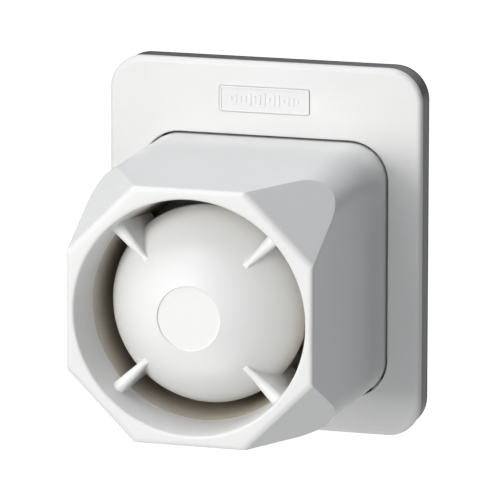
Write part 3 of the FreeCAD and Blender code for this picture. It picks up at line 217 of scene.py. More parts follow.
def outline(half_x, half_z, corner, centre_z=0.0, facet=None, edge=0.0):
    """Closed outline of a rounded rectangle whose corners may be cut by a diagonal facet.

    facet is the facet's distance from the centre, and edge rounds the facet's two ends. Every
    outline has the same number of points, so that outlines can be skinned to each other.
    """
    wide = half_x - edge
    tall = half_z - edge
    bend = max(corner - edge, 0.0)
    middle_x = wide - bend
    middle_z = tall - bend
    lower = upper = None
    low_turn = high_turn = math.pi / 4
    if facet is not None:
        reach = (facet - edge) * math.sqrt(2)
        share = (reach - middle_x - middle_z) / (bend * math.sqrt(2))
        if share < 1:
            spread = math.acos(max(share, -1.0))
            low_turn = math.pi / 4 - spread
            high_turn = math.pi / 4 + spread
            lower = (wide, reach - wide)
            upper = (reach - tall, tall)
            if low_turn >= 0:
                lower = (middle_x + bend * math.cos(low_turn), middle_z + bend * math.sin(low_turn))
                upper = (middle_x + bend * math.cos(high_turn), middle_z + bend * math.sin(high_turn))

    def support(turn, vertex, on_arc):
        x, z = vertex if vertex and not on_arc else (
            middle_x + bend * math.cos(turn),
            middle_z + bend * math.sin(turn),
        )
        return (x + edge * math.cos(turn), z + edge * math.sin(turn))

    quarter = [support(t, lower, t < low_turn) for t in steps(0, math.pi / 4, ARC_STEPS)]
    second = [support(t, upper, t > high_turn) for t in steps(math.pi / 4, math.pi / 2, ARC_STEPS)]
    for t in steps(0, 1, FACET_STEPS)[1:-1]:
        quarter.append((lerp(quarter[ARC_STEPS][0], second[0][0], t),
                        lerp(quarter[ARC_STEPS][1], second[0][1], t)))
    quarter += second
    mirrored = [(-x, z) for x, z in reversed(quarter)]
    lower_left = [(-x, -z) for x, z in quarter]
    lower_right = [(x, -z) for x, z in reversed(quarter)]
    points = []
    for part, following in (
        (quarter, mirrored), (mirrored, lower_left), (lower_left, lower_right), (lower_right, quarter),
    ):
        points += part
        a, b = part[-1], following[0]
        points += [(lerp(a[0], b[0], t), lerp(a[1], b[1], t)) for t in steps(0, 1, FLAT_STEPS)[1:-1]]
    return [(x, z + centre_z) for x, z in points]


def ring_at(points, front):
    return [at(x, front, z) for x, z in points]


def circle_like(points, radius, centre_z):
    """The points of a circle that lie in the same directions as an outline's points."""
    found = []
    for x, z in points:
        turn = math.atan2(z - centre_z, x)
        found.append((radius * math.cos(turn), radius * math.sin(turn) + centre_z))
    return found


def between(first, second, share):
    """The outline that lies a share of the way from one outline to another."""
    return [(lerp(a[0], b[0], share), lerp(a[1], b[1], share)) for a, b in zip(first, second)]


def rounding(count=4):
    """(how far along, how far in) of a quarter round, as shares of its radius."""
    return [(math.sin(t), 1 - math.cos(t)) for t in steps(0, math.pi / 2, count)]


def turned(tool, profile, x=0.0, z=HORN_Z, count=TURN_STEPS, closed=False):
    """Turns a profile of (front, radius) points about an axis along Y."""
    rings = []
    for front, radius in profile:
        ring = []
        for k in range(count):
            turn = 2 * math.pi * k / count
            ring.append(at(x + radius * math.cos(turn), front, z + radius * math.sin(turn)))
        rings.append(ring)
    return skin(tool, rings, closed_loop=closed, caps=not closed)


def round_profile(points, radius=0.3, count=3):
    """A closed profile of (front, radius) corners with every corner rounded."""
    rounded = []
    total = len(points)
    for k, here in enumerate(points):
        before = Vector(points[k - 1])
        after = Vector(points[(k + 1) % total])
        corner = Vector(here)
        back = before - corner
        on = after - corner
        cut = min(radius, back.length * 0.4, on.length * 0.4)
        start = corner + back.normalized() * cut
        end = corner + on.normalized() * cut
        for t in steps(0, 1, count):
            rounded.append(tuple(start * (1 - t) ** 2 + corner * 2 * t * (1 - t) + end * t**2))
    return rounded


# --- Materials -----------------------------------------------------------------------------------


class Finish:
    """A principled material with a few helpers for procedural detail."""

    def __init__(self, name, colour, roughness, metallic=0.0):
        self.material = bpy.data.materials.new(name)
        self.material.use_nodes = True
        self.tree = self.material.node_tree
        self.shader = self.tree.nodes["Principled BSDF"]
        self.colour = (*colour, 1.0)
        self.roughness = roughness
        self.shader.inputs["Base Color"].default_value = self.colour
        self.shader.inputs["Roughness"].default_value = roughness
        self.shader.inputs["Metallic"].default_value = metallic
        self.tint = None
        self.place = self.tree.nodes.new("ShaderNodeTexCoord").outputs["Object"]
        self.normal = None

    def node(self, kind, **values):
        made = self.tree.nodes.new(kind)
        for key, value in values.items():
            if hasattr(made, key):
                setattr(made, key, value)
            else:
                made.inputs[key.replace("_", " ")].default_value = value
        return made

    def link(self, source, target):
        self.tree.links.new(source, target)

    def noise(self, size, detail=3.0, roughness=0.5, stretch=None):
        """Noise whose grains are about size millimetres across."""
        made = self.node("ShaderNodeTexNoise", Scale=1 / (size * MM), Detail=detail, Roughness=roughness)
        place = self.place
        if stretch is not None:
            mapping = self.node("ShaderNodeMapping")
            mapping.inputs["Scale"].default_value = stretch
            self.link(place, mapping.inputs["Vector"])
            place = mapping.outputs["Vector"]
        self.link(place, made.inputs["Vector"])
        return made.outputs["Fac"]

    def ramp(self, source, low, high, start=0.0, end=1.0):
        """Maps source from start..end to low..high, and returns a number."""
        made = self.node("ShaderNodeMapRange")
        for name, value in (("From Min", start), ("From Max", end), ("To Min", low), ("To Max", high)):
            made.inputs[name].default_value = value
        self.link(source, made.inputs["Value"])
        return made.outputs["Result"]

    def mix_colour(self, share, other):
        """Mixes the colour so far towards another colour by a share."""
        made = self.node("ShaderNodeMix", data_type="RGBA")
        self.link(share, made.inputs["Factor"])
        if self.tint is None:
            made.inputs["A"].default_value = self.colour
        else:
            self.link(self.tint, made.inputs["A"])
        made.inputs["B"].default_value = (*other, 1.0)
        self.tint = made.outputs["Result"]
        self.link(self.tint, self.shader.inputs["Base Color"])

    def bump(self, height, depth, strength=1.0):
        """Adds a bump of that depth in millimetres on top of the bumps so far."""
        made = self.node("ShaderNodeBump", Strength=strength, Distance=depth * MM)
        self.link(height, made.inputs["Height"])
        if self.normal is not None:
            self.link(self.normal, made.inputs["Normal"])
        self.normal = made.outputs["Normal"]
        self.link(self.normal, self.shader.inputs["Normal"])

    def roughness_from(self, source):
        self.link(source, self.shader.inputs["Roughness"])

    def dust_and_shade(self, colour, reach, amount):
        """Tints corners and recesses within reach millimetres, found by ambient occlusion, towards
        colour: dust where it lightens a dark plastic, painted shade where it darkens a light one.
        """
        hidden = self.node("ShaderNodeAmbientOcclusion", samples=8, Distance=reach * MM)
        share = self.ramp(hidden.outputs["AO"], amount, 0.0, 0.25, 0.85)
        self.mix_colour(share, colour)

    def wear_and_edge_highlight(self, colour, amount, start=0.53, end=0.60):
        """Lightens convex edges found by pointiness: rubbed wear on the metals, a painted edge highlight
        on the plastics.
        """
        shape = self.node("ShaderNodeNewGeometry").outputs["Pointiness"]
        share = self.ramp(shape, 0.0, amount, start, end)
        self.mix_colour(share, colour)


def lighter(colour, factor):
    return tuple(min(1.0, channel * factor) for channel in colour)


def moulded(name, colour, roughness=0.42, grain=0.35, depth=0.02, mottle=0.03, dust_and_shade_tint=(0.5, 0.48, 0.44)):
    """Injection-moulded plastic: fine spark-eroded grain, faint flow mottling, edges lightened as a
    painted highlight, recesses tinted by ambient occlusion (painted shade on light plastics, dust on dark
    ones).
    """
    finish = Finish(name, colour, roughness)
    flow = finish.noise(28, detail=4)
    finish.mix_colour(finish.ramp(flow, 0.0, 1.0, 0.35, 0.75), lighter(colour, 1 - mottle))
    speck = finish.noise(0.9, detail=2)
    finish.mix_colour(finish.ramp(speck, 0.0, 0.5, 0.55, 0.8), lighter(colour, 1 + mottle))
    # Lighter convex edges: a painted edge highlight.
    finish.wear_and_edge_highlight(lighter(colour, 1.06), 0.5)
    # Recess tint by ambient occlusion: painted shade on light plastics, dust on dark ones.
    finish.dust_and_shade(dust_and_shade_tint, 2.5, 0.10)
    fine = finish.noise(grain, detail=2, roughness=0.6)
    finish.bump(fine, depth, 0.6)
    finish.bump(finish.noise(14, detail=2), 0.05, 0.25)
    finish.roughness_from(finish.ramp(fine, roughness - 0.06, roughness + 0.08, 0.3, 0.7))
    finish.shader.inputs["Specular IOR Level"].default_value = 0.45
    return finish.material


def rubbery(name, colour, grain, depth, roughness=0.75):
    """Rubber or foam with a soft, dusty surface."""
    finish = Finish(name, colour, roughness)
    pores = finish.node("ShaderNodeTexVoronoi", Scale=1 / (grain * MM))
    finish.link(finish.place, pores.inputs["Vector"])
    finish.mix_colour(finish.ramp(pores.outputs["Distance"], 0.0, 0.6, 0.2, 0.8), lighter(colour, 1.7))
    finish.mix_colour(finish.ramp(finish.noise(9), 0.0, 0.18, 0.45, 0.75), (0.30, 0.29, 0.27))
    finish.bump(pores.outputs["Distance"], depth, 0.7)
    finish.bump(finish.noise(3), depth, 0.3)
    finish.roughness_from(finish.ramp(finish.noise(2), roughness - 0.1, roughness + 0.1, 0.3, 0.7))
    return finish.material


def painted_shade_bell(name):
    """Warm beige moulding whose deep folds are darkened to brown by painted shade, masked by ambient
    occlusion.
    """
    finish = Finish(name, (0.68, 0.63, 0.56), 0.5)
    finish.mix_colour(finish.ramp(finish.noise(24, detail=4), 0.0, 1.0, 0.35, 0.75), (0.64, 0.58, 0.50))
    # Painted shade: where ambient occlusion finds deep folds, the colour goes to dark brown.
    deep_painted_shade = finish.node("ShaderNodeAmbientOcclusion", samples=12, Distance=30 * MM)
    finish.mix_colour(finish.ramp(deep_painted_shade.outputs["AO"], 1.0, 0.0, 0.0, 0.26), (0.14, 0.10, 0.05))
    fine = finish.noise(0.35, detail=2, roughness=0.6)
    finish.bump(fine, 0.02, 0.6)
    finish.roughness_from(finish.ramp(fine, 0.46, 0.6, 0.3, 0.7))
    return finish.material


def metal(name, colour, roughness=0.3, stretch=(1, 1, 1), grain=0.4, tarnish=(0.35, 0.33, 0.28)):
    """Plated or bare metal with fine drawn lines and a little tarnish."""
    finish = Finish(name, colour, roughness, metallic=1.0)
    lines = finish.noise(grain, detail=3, stretch=stretch)
    finish.mix_colour(finish.ramp(finish.noise(5, detail=5), 0.0, 0.35, 0.5, 0.8), tarnish)
    finish.wear_and_edge_highlight(lighter(colour, 1.25), 0.6)
    finish.bump(lines, 0.012, 0.5)
    finish.roughness_from(finish.ramp(lines, roughness - 0.08, roughness + 0.15, 0.3, 0.7))
    return finish.material


def banded(name, colour, other, pitch, depth, direction="Y", roughness=0.35, metallic=0.0):
    """Wound or ribbed surface with bands of that pitch in millimetres."""
    finish = Finish(name, colour, roughness, metallic)
    bands = finish.node("ShaderNodeTexWave", bands_direction=direction, Scale=0.314 / (pitch * MM))
    finish.link(finish.place, bands.inputs["Vector"])
    finish.mix_colour(finish.ramp(bands.outputs["Fac"], 0.8, 0.0, 0.0, 0.6), other)
    finish.mix_colour(finish.ramp(finish.noise(1.5), 0.0, 0.3, 0.5, 0.8), other)
    finish.bump(bands.outputs["Fac"], depth, 0.8)
    finish.roughness_from(finish.ramp(finish.noise(1.0), roughness - 0.08, roughness + 0.1, 0.3, 0.7))
    return finish.material


def circuit_board(name):
    """Green lacquer over copper tracks that show as a slightly lighter, raised pattern."""
    finish = Finish(name, (0.015, 0.13, 0.05), 0.35)
    tracks = finish.node("ShaderNodeTexBrick", Scale=1 / (9 * MM), Mortar_Size=0.05, Mortar_Smooth=0.2)
    turn = finish.node("ShaderNodeMapping")
    turn.inputs["Rotation"].default_value = (math.pi / 2, 0, 0)
    finish.link(finish.place, turn.inputs["Vector"])
    finish.link(turn.outputs["Vector"], tracks.inputs["Vector"])
    finish.mix_colour(finish.ramp(tracks.outputs["Fac"], 0.0, 0.7), (0.05, 0.30, 0.12))
    finish.mix_colour(finish.ramp(finish.noise(6), 0.0, 0.4, 0.5, 0.8), (0.01, 0.09, 0.035))
    finish.bump(tracks.outputs["Fac"], 0.04, 0.6)
    finish.bump(finish.noise(0.3), 0.01, 0.4)
    finish.roughness_from(finish.ramp(finish.noise(2), 0.25, 0.45, 0.3, 0.7))
    return finish.material


WHITE = (0.80, 0.80, 0.79)


def make_materials():
    """One material for each slot of the record."""
    return {
        # The cover's white is a darker copy of the shared white: painted shade that tones down its
        # brightly lit face.
        "cover_white": moulded("cover_white", lighter(WHITE, 0.93), roughness=0.40),
        "horn_white": moulded("horn_white", WHITE, roughness=0.42),
        # The cup's white is a lighter copy of the shared white: painted light that brightens the dome in
        # the horn's shade.
        "cup_white": moulded("cup_white", lighter(WHITE, 1.05), roughness=0.38),
        "badge_white": moulded("badge_white", (0.73, 0.73, 0.73), 0.30, grain=0.2, depth=0.01),
        "box_grey": moulded("box_grey", (0.055, 0.055, 0.058), roughness=0.5, dust_and_shade_tint=(0.2, 0.19, 0.18)),
        "inner_brown": painted_shade_bell("inner_brown"),
        "gasket_foam": rubbery("gasket_foam", (0.030, 0.030, 0.032), 0.7, 0.15, roughness=0.85),
        "seal_rubber": rubbery("seal_rubber", (0.020, 0.020, 0.020), 1.6, 0.02),
        "grommet_rubber": rubbery("grommet_rubber", (0.018, 0.018, 0.018), 1.2, 0.02, roughness=0.6),
        "zinc_steel": metal("zinc_steel", (0.62, 0.63, 0.65), 0.28, stretch=(1, 6, 1)),
        "frame_black": moulded("frame_black", (0.02, 0.02, 0.022), roughness=0.5, dust_and_shade_tint=(0.1, 0.1, 0.1)),
        "phenolic": banded("phenolic", (0.20, 0.09, 0.03), (0.12, 0.05, 0.02), 0.5, 0.02, "DIAGONAL"),
        "copper_coil": banded(
            "copper_coil", (0.62, 0.28, 0.12), (0.25, 0.08, 0.03), 0.22, 0.05, roughness=0.3, metallic=0.9
        ),
        "surround_cloth": banded(
            "surround_cloth", (0.06, 0.045, 0.03), (0.03, 0.02, 0.015), 0.4, 0.05, "X", roughness=0.8
        ),
        "plated_iron": metal("plated_iron", (0.50, 0.50, 0.48), 0.38, stretch=(1, 4, 1)),
        "ferrite": rubbery("ferrite", (0.045, 0.045, 0.05), 0.5, 0.02, roughness=0.55),
        "board_green": circuit_board("board_green"),
        "chip_black": moulded("chip_black", (0.012, 0.012, 0.013), 0.5, dust_and_shade_tint=(0.08, 0.08, 0.08)),
        "capacitor_sleeve": moulded("capacitor_sleeve", (0.015, 0.02, 0.06), roughness=0.25, depth=0.005),
        "ceramic_tan": moulded("ceramic_tan", (0.45, 0.22, 0.06), roughness=0.3, depth=0.02),
        "resistor_beige": banded(
            "resistor_beige", (0.50, 0.38, 0.22), (0.20, 0.06, 0.03), 1.3, 0.01, "X", 0.4
        ),
        "sink_aluminium": metal("sink_aluminium", (0.04, 0.04, 0.042), 0.45, stretch=(1, 1, 8)),
        "ferrite_coil": banded(
            "ferrite_coil", (0.30, 0.12, 0.05), (0.05, 0.02, 0.01), 0.5, 0.1, "Y", 0.35
        ),
        "terminal_green": moulded("terminal_green", (0.02, 0.15, 0.05), roughness=0.35),
        "terminal_steel": metal("terminal_steel", (0.66, 0.65, 0.62), 0.22),
        "switch_black": moulded("switch_black", (0.015, 0.015, 0.016), roughness=0.4),
        "slider_white": moulded("slider_white", (0.70, 0.70, 0.67), roughness=0.35),
        "tamper_black": moulded("tamper_black", (0.018, 0.018, 0.02), roughness=0.4),
        "plunger_red": moulded("plunger_red", (0.42, 0.02, 0.015), roughness=0.35),
        "spring_steel": metal("spring_steel", (0.55, 0.56, 0.58), 0.25),
        "wire_red": moulded("wire_red", (0.42, 0.015, 0.01), roughness=0.35, depth=0.01),
        "wire_black": moulded("wire_black", (0.012, 0.012, 0.012), roughness=0.35, depth=0.01),
        "wire_grey": moulded("wire_grey", (0.25, 0.25, 0.27), roughness=0.35, depth=0.01),
        "tag_brass": metal("tag_brass", (0.68, 0.58, 0.34), 0.3),
    }


MATERIALS = make_materials()


def finish_cad_nodes():
    """Gives every CAD node that stays visible the procedural finish of its slot."""
    for entry in frame["record"]["subparts"]:
        piece = NODES[entry["node"]]
        for holder in piece.material_slots:
            holder.material = MATERIALS[entry["material_slot"]]


# --- Horn housing --------------------------------------------------------------------------------


def housing_outline(front, inset=0.0, edge=FACET_EDGE):
    """Outline of the housing at a distance from the wall, drawn in by inset."""
    share = (front - HOUSING_BACK) / (MOUTH_FRONT - HOUSING_BACK)
    half_x = lerp(REAR_HALF_X, MOUTH_HALF_X, share) - inset
    half_z = lerp(REAR_HALF_Z, MOUTH_HALF_Z, share) - inset
    facet = FACET_AT_MOUTH + FACET_CUT / FACET_LENGTH * (MOUTH_FRONT - front) - inset
    return outline(half_x, half_z, HORN_CORNER - inset, HORN_Z, facet, edge)


def make_housing():
    """White housing: square rear, four corner facets, octagonal rim, round bell lip, ears."""
    tool = bmesh.new()
    rings = [ring_at(housing_outline(HOUSING_BACK, REAR_BEVEL), HOUSING_BACK)]
    rings.append(ring_at(housing_outline(HOUSING_BACK + REAR_BEVEL), HOUSING_BACK + REAR_BEVEL))
    edge_back = MOUTH_FRONT - RIM_EDGE
    for front in steps(14, STRAIGHT_FRONT, 6) + steps(STRAIGHT_FRONT + 1, edge_back, 56):
        rings.append(ring_at(housing_outline(front), front))
    for along, inward in rounding(5)[1:]:
        front = edge_back + RIM_EDGE * along
        rings.append(ring_at(housing_outline(front, RIM_EDGE * inward), front))
    rim = housing_outline(MOUTH_FRONT, RIM_EDGE)

    def circle(radius, front):
        rings.append(ring_at(circle_like(rim, radius, HORN_Z), front))

    inside = circle_like(rim, MOUTH_RADIUS + MOUTH_EDGE, HORN_Z)
    for share in (0.2, 0.8):
        rings.append(ring_at(between(rim, inside, share), MOUTH_FRONT))
    for along, inward in reversed(rounding(4)):
        circle(MOUTH_RADIUS + MOUTH_EDGE * inward, MOUTH_FRONT - MOUTH_EDGE * (1 - along))
    for share in steps(0, 1, 6)[1:]:
        front = lerp(MOUTH_FRONT - MOUTH_EDGE, LIP_BACK + BEVEL, share)
        circle(lerp(MOUTH_RADIUS, LIP_RADIUS, share), front)
    circle(LIP_RADIUS + BEVEL, LIP_BACK)
    for front in steps(LIP_BACK, HOUSING_BACK, 8):
        rings.append(ring_at(housing_outline(front, HORN_WALL), front))
    skin(tool, rings, closed_loop=True)
    profile = round_profile([
        (EAR_BACK, EAR_HOLE), (EAR_BACK, EAR_RADIUS), (EAR_FRONT, EAR_RADIUS), (EAR_FRONT, EAR_SINK),
        (EAR_FRONT - EAR_SINK_DEPTH, EAR_HOLE),
    ], BEVEL)
    for x in (-EAR_X, EAR_X):
        for z in (HORN_Z - EAR_Z, HORN_Z + EAR_Z):
            turned(tool, profile, x, z, count=40, closed=True)
    mesh = finish_mesh(tool, "housing_shell")
    piece = new_object("housing_shell", mesh, "siren_body", MATERIALS["horn_white"])
    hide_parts("horn_housing")


# --- Front cover ---------------------------------------------------------------------------------


def make_cover():
    """White cover: rounded plate with a window for the horn, a badge recess and a rear skirt."""
    tool = bmesh.new()
    rings = []

    def plate_shape(inset):
        return outline(COVER_HALF_X - inset, COVER_HALF_Z - inset, COVER_CORNER - inset)

    def window_shape(grow):
        gap = WINDOW_GAP + grow
        return outline(REAR_HALF_X + gap, REAR_HALF_Z + gap, HORN_CORNER + gap, HORN_Z)

    def plate_ring(inset, front):
        rings.append(ring_at(plate_shape(inset), front))

    def window_ring(grow, front):
        rings.append(ring_at(window_shape(grow), front))

    plate_ring(BEVEL, COVER_BACK)
    plate_ring(0.0, COVER_BACK + BEVEL)
    for along, inward in rounding(6):
        plate_ring(COVER_EDGE * inward, COVER_FRONT - COVER_EDGE * (1 - along))
    rim = plate_shape(COVER_EDGE + FLAT_MARGIN)
    window = window_shape(WINDOW_EDGE + FLAT_MARGIN)
    for share in steps(0, 1, 12):
        rings.append(ring_at(between(rim, window, share), COVER_FRONT))
    for along, inward in reversed(rounding(4)):
        window_ring(WINDOW_EDGE * inward, COVER_FRONT - WINDOW_EDGE * (1 - along))
    window_ring(0.0, COVER_BACK)
    inner = SKIRT_INSET + SKIRT_THICK
    plate_ring(inner + 0.2, COVER_BACK)
    plate_ring(inner, SKIRT_BACK + BEVEL)
    plate_ring(inner - BEVEL, SKIRT_BACK)
    plate_ring(SKIRT_INSET + BEVEL, SKIRT_BACK)
    plate_ring(SKIRT_INSET, SKIRT_BACK + BEVEL)
    plate_ring(SKIRT_INSET, COVER_BACK)
    skin(tool, rings, closed_loop=True)
    mesh = finish_mesh(tool, "cover_plate")
    piece = new_object("cover_plate", mesh, "cover", MATERIALS["cover_white"])
    carve_badge_seat(piece)
    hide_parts("front_cover")


def carve_badge_seat(piece):
    """Cuts the badge's shallow recess into the cover's face."""
    tool = bmesh.new()
    wide = BADGE_HALF_X + SEAT_GAP
    tall = BADGE_HALF_Z + SEAT_GAP
    straight = outline(wide, tall, SEAT_CORNER, BADGE_Z)
    flared = outline(wide + BEVEL, tall + BEVEL, SEAT_CORNER + BEVEL, BADGE_Z)
    rings = [
        ring_at(straight, BADGE_BACK),
        ring_at(straight, COVER_FRONT - BEVEL / 2),
        ring_at(flared, COVER_FRONT + BEVEL / 2),
    ]
    skin(tool, rings, caps=True)
    cutter = bpy.data.objects.new("badge_cutter", finish_mesh(tool, "badge_cutter"))
    bpy.context.scene.collection.objects.link(cutter)
    carve = piece.modifiers.new("badge_seat", "BOOLEAN")
    carve.operation = "DIFFERENCE"
    carve.solver = "EXACT"
    carve.object = cutter
    bpy.context.view_layer.update()
    evaluated = piece.evaluated_get(bpy.context.evaluated_depsgraph_get())
    carved = bpy.data.meshes.new_from_object(evaluated)
    piece.modifiers.clear()
    piece.data = carved
    bpy.data.objects.remove(cutter)
    carved.set_sharp_from_angle(angle=math.radians(32))


def make_badge():
    """Badge with a raised border and a row of plain sound-level bars."""
    tool = bmesh.new()
    base_front = BADGE_FRONT - BADGE_SINK

    def ring(inset, front):
        shape = outline(BADGE_HALF_X - inset, BADGE_HALF_Z - inset, max(0.8 - inset, 0.2), BADGE_Z)
        return ring_at(shape, front)

    rings = [
        ring(0.0, BADGE_BACK),
        ring(0.0, BADGE_FRONT - BADGE_BEVEL),
        ring(BADGE_BEVEL, BADGE_FRONT),
        ring(BADGE_BORDER - BADGE_BEVEL, BADGE_FRONT),
        ring(BADGE_BORDER, BADGE_FRONT - BADGE_BEVEL),
        ring(BADGE_BORDER, base_front),
    ]
    skin(tool, rings, caps=True)
    for k in range(BARS):
        x = (k - (BARS - 1) / 2) * BAR_PITCH
        tall = 0.55 + 1.9 * abs(math.sin(k * 1.1 + 0.4)) * math.cos((k - 7) / 7 * 1.2)
        bar = []
        for cut, rise in ((0.0, -0.05), (0.0, 0.12), (0.08, 0.2)):
            shape = outline(BAR_HALF - cut, tall - cut, 0.35 - cut, BADGE_Z)
            bar.append(ring_at([(x + px, z) for px, z in shape], base_front + rise))
        skin(tool, bar, caps=True)
    mesh = finish_mesh(tool, "badge_plate")
    piece = new_object("badge_plate", mesh, "cover", MATERIALS["badge_white"])
    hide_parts("badge")


# --- Reflector cup -------------------------------------------------------------------------------


def dome_front(radius):
    """Distance from the wall to the dome's face at a radius from the horn's axis."""
    return DOME_CENTRE + math.sqrt(max(DOME_RADIUS**2 - radius**2, 0.0))


def make_cup():
    """White cup: domed face with a recessed disc, conical skirt, and four ribs to the bell wall."""
    tool = bmesh.new()
    disc_front = MOUTH_FRONT - DISC_DROP
    outer = [(disc_front, AXIS)]
    for radius in steps(2, DISC_RADIUS - DISC_STEP_IN - 0.15, 4):
        outer.append((disc_front, radius))
    for t in steps(0, 1, 6):
        blend = t * t * (3 - 2 * t)
        radius = lerp(DISC_RADIUS - DISC_STEP_IN, DISC_RADIUS + DISC_STEP_OUT, t)
        outer.append((MOUTH_FRONT - DISC_DROP * (1 - blend), radius))
    start = math.asin((DISC_RADIUS + 0.3) / DOME_RADIUS)
    end = math.asin(DOME_EDGE / DOME_RADIUS)
    for turn in steps(start, end, 48):
        outer.append((DOME_CENTRE + DOME_RADIUS * math.cos(turn), DOME_RADIUS * math.sin(turn)))
    outer.append((DOME_EDGE_FRONT - DOME_EDGE_WALL, DOME_EDGE))
    for share in steps(0, 1, 6):
        outer.append((lerp(DOME_EDGE_FRONT - 2 * DOME_EDGE_WALL, CUP_BACK + 0.4, share),
                      lerp(DOME_EDGE, CUP_BACK_RADIUS, share)))
    outer += [
        (CUP_BACK, CUP_BACK_RADIUS - BEVEL),
        (CUP_BACK, CUP_BACK_RADIUS - CUP_WALL + BEVEL),
        (CUP_BACK + BEVEL, CUP_BACK_RADIUS - CUP_WALL),
    ]
    inner_radius = DOME_RADIUS - CUP_WALL
    inner_flat = disc_front - CUP_WALL
    inner_start = math.acos((inner_flat - DOME_CENTRE) / inner_radius)
    inner_end = math.asin((DOME_EDGE - CUP_WALL) / inner_radius)
    for turn in reversed(steps(inner_start, inner_end, 20)):
        outer.append((DOME_CENTRE + inner_radius * math.cos(turn), inner_radius * math.sin(turn)))
    for radius in (8, 4, AXIS):
        outer.append((inner_flat, radius))
    turned(tool, outer)
    for k in range(4):
        add_rib(tool, math.radians(45 + 90 * k))
    mesh = finish_mesh(tool, "reflector_dome")
    piece = new_object("reflector_dome", mesh, "siren_body", MATERIALS["cup_white"])
    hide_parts("reflector_cup")


def bell_radius(front):
    """Radius of the bell's wall at a distance from the wall face."""
    if front > LIP_BACK:
        return lerp(LIP_RADIUS, MOUTH_RADIUS, (front - LIP_BACK) / (MOUTH_FRONT - LIP_BACK))
    return lerp(BELL_RADIUS, BELL_END_RADIUS, (front - BELL_FRONT) / (LIP_BACK - BELL_FRONT))


def rib_section(half, root, floor, flare):
    """(sideways, front) points of a rib's cross-section, from root up to the rib's round top.

    The sides flare out where they leave the dome at floor.
    """
    height = max(RIB_FRONT - floor, 0.02)
    spread = min(flare, height * 0.4)
    crown = min(half * 0.95, height * 0.6)
    side = [(half + spread, root), (half + spread, floor)]
    for t in steps(0, math.pi / 2, 5):
        side.append((half + spread * (1 - math.sin(t)), floor + spread * (1 - math.cos(t))))
    for t in steps(0, math.pi / 2, 7):
        side.append((half - crown * (1 - math.cos(t)), floor + height - crown * (1 - math.sin(t))))
    return side + [(-x, front) for x, front in reversed(side)]


def add_rib(tool, angle):
    """One rib from the dome out to the bell's wall, in the direction of angle."""
    out = Vector((math.cos(angle), math.sin(angle)))
    side = Vector((-out.y, out.x))
    start = math.sqrt(DOME_RADIUS**2 - (RIB_FRONT - DOME_CENTRE) ** 2)

    def station(section, radius_at):
        points = []
        for across, front in section:
            place = out * radius_at(front) + side * across
            points.append(at(place.x, front, place.y + HORN_Z))
        return points

    def half_at(radius):
        return lerp(RIB_HALF_INNER, RIB_HALF_OUTER, (radius - start) / (LIP_RADIUS - start))

    rings = []
    for radius in steps(start - 1.0, RIB_ROOT, 26):
        floor = dome_front(radius)
        flare = RIB_FILLET * min(1.0, (RIB_ROOT - radius) / 4)
        section = rib_section(half_at(radius), floor - CUP_WALL / 2, min(floor, RIB_FRONT), flare)
        rings.append(station(section, lambda front, r=radius: r))
    for share in steps(0, 1, 6):
        section = rib_section(half_at(lerp(RIB_ROOT, LIP_RADIUS, share)), RIB_BACK, RIB_BACK + 1.0, 0.0)
        rings.append(station(
            section, lambda front, t=share: lerp(RIB_ROOT + 0.05, bell_radius(front) + RIB_SINK, t)
        ))
    skin(tool, rings, caps=True)


# --- Scene ---------------------------------------------------------------------------------------


def area_light(name, place, aim, size, power, colour=(1, 1, 1)):
    """A soft square studio light, aimed at a point."""
    lamp = bpy.data.lights.new(name, "AREA")
    lamp.shape = "RECTANGLE"
    lamp.size, lamp.size_y = size
    lamp.energy = power
    lamp.color = colour
    made = bpy.data.objects.new(name, lamp)
    bpy.context.scene.collection.objects.link(made)
    made.location = place
    made.rotation_euler = (Vector(aim) - Vector(place)).to_track_quat("-Z", "Y").to_euler()
    return made


def make_world():
    """Even white surroundings for the camera, dimmer to the right for the light on the object."""
    world = bpy.data.worlds.new("studio")
    bpy.context.scene.world = world
    world.use_nodes = True
    tree = world.node_tree
    back = tree.nodes["Background"]
    back.inputs["Color"].default_value = (0.90, 0.94, 1.0, 1)
    place = tree.nodes.new("ShaderNodeTexCoord")
    turn = tree.nodes.new("ShaderNodeVectorMath")
    turn.operation = "DOT_PRODUCT"
    turn.inputs[1].default_value = Vector((-0.72, -0.45, 0.53)).normalized()
    tree.links.new(place.outputs["Generated"], turn.inputs[0])
    level = tree.nodes.new("ShaderNodeMapRange")
    for name, value in (("From Min", -1.0), ("From Max", 1.0), ("To Min", 0.13), ("To Max", 0.23)):
        level.inputs[name].default_value = value
    tree.links.new(turn.outputs["Value"], level.inputs["Value"])
    path = tree.nodes.new("ShaderNodeLightPath")
    choose = tree.nodes.new("ShaderNodeMix")
    tree.links.new(path.outputs["Is Camera Ray"], choose.inputs["Factor"])
    tree.links.new(level.outputs["Result"], choose.inputs["A"])
    choose.inputs["B"].default_value = 1.1
    tree.links.new(choose.outputs["Result"], back.inputs["Strength"])


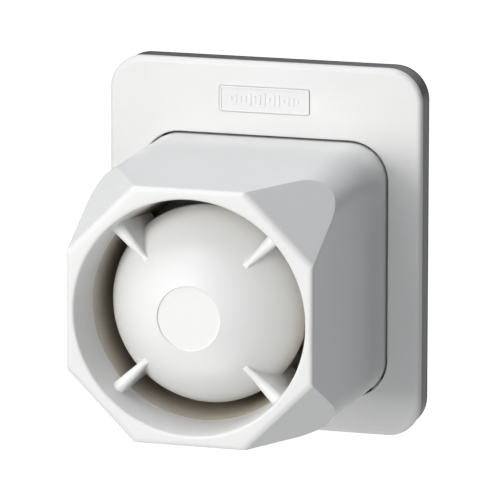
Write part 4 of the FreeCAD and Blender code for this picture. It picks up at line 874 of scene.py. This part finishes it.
def make_floor():
    """Plain pale floor, far enough below that the siren throws no shadow on it."""
    tool = bmesh.new()
    bmesh.ops.create_grid(tool, x_segments=4, y_segments=4, size=30)
    mesh = bpy.data.meshes.new("studio_floor")
    tool.to_mesh(mesh)
    tool.free()
    floor = bpy.data.objects.new("studio_floor", mesh)
    bpy.context.scene.collection.objects.link(floor)
    floor.location = (0, 0, -1.8)
    finish = Finish("studio_floor", (0.9, 0.9, 0.9), 0.9)
    finish.shader.inputs["Emission Color"].default_value = (1, 1, 1, 1)
    finish.shader.inputs["Emission Strength"].default_value = 0.95
    finish.mix_colour(finish.ramp(finish.noise(400), 0.0, 0.3, 0.4, 0.8), (0.88, 0.88, 0.88))
    floor.data.materials.append(finish.material)
    floor.visible_diffuse = False


def make_camera():
    """Long lens, a little to the right of and above the siren."""
    azimuth = math.radians(16.8)
    elevation = math.radians(12.4)
    target = Vector((-8.9, 0.0, -4.55)) * MM
    distance = 2.0
    back = Vector((
        math.sin(azimuth) * math.cos(elevation),
        -math.cos(azimuth) * math.cos(elevation),
        math.sin(elevation),
    ))
    data = bpy.data.cameras.new("camera")
    data.sensor_width = 36
    data.lens = 403
    camera = bpy.data.objects.new("camera", data)
    bpy.context.scene.collection.objects.link(camera)
    camera.location = target + back * distance
    camera.rotation_euler = (-back).to_track_quat("-Z", "Y").to_euler()
    data.clip_start = 0.05
    data.clip_end = 60
    bpy.context.scene.camera = camera


def make_lights():
    """Large soft lights: key in front, one overhead, weak fills, one behind for the back."""
    warm = (1.0, 0.99, 0.97)
    cool = (0.96, 0.975, 1.0)
    area_light("key", (-0.75, -1.9, 0.3), (0, 0, 0), (0.8, 0.9), 26.5, warm)
    area_light("front_fill", (0.5, -1.9, 0.0), (0, 0, 0), (0.8, 0.8), 5)
    area_light("overhead", (-0.5, -0.4, 1.9), (0, 0, 0), (1.4, 1.4), 24, cool)
    area_light("from_below", (0.3, -0.5, -1.65), (0, 0, 0), (1.2, 0.8), 7)
    area_light("rear", (0.3, 2.0, 1.2), (0, 0, 0), (2.0, 1.5), 14)


finish_cad_nodes()
make_housing()
make_cover()
make_badge()
make_cup()
make_world()
make_floor()
make_lights()
make_camera()
bpy.context.scene.view_settings.view_transform = "Standard"
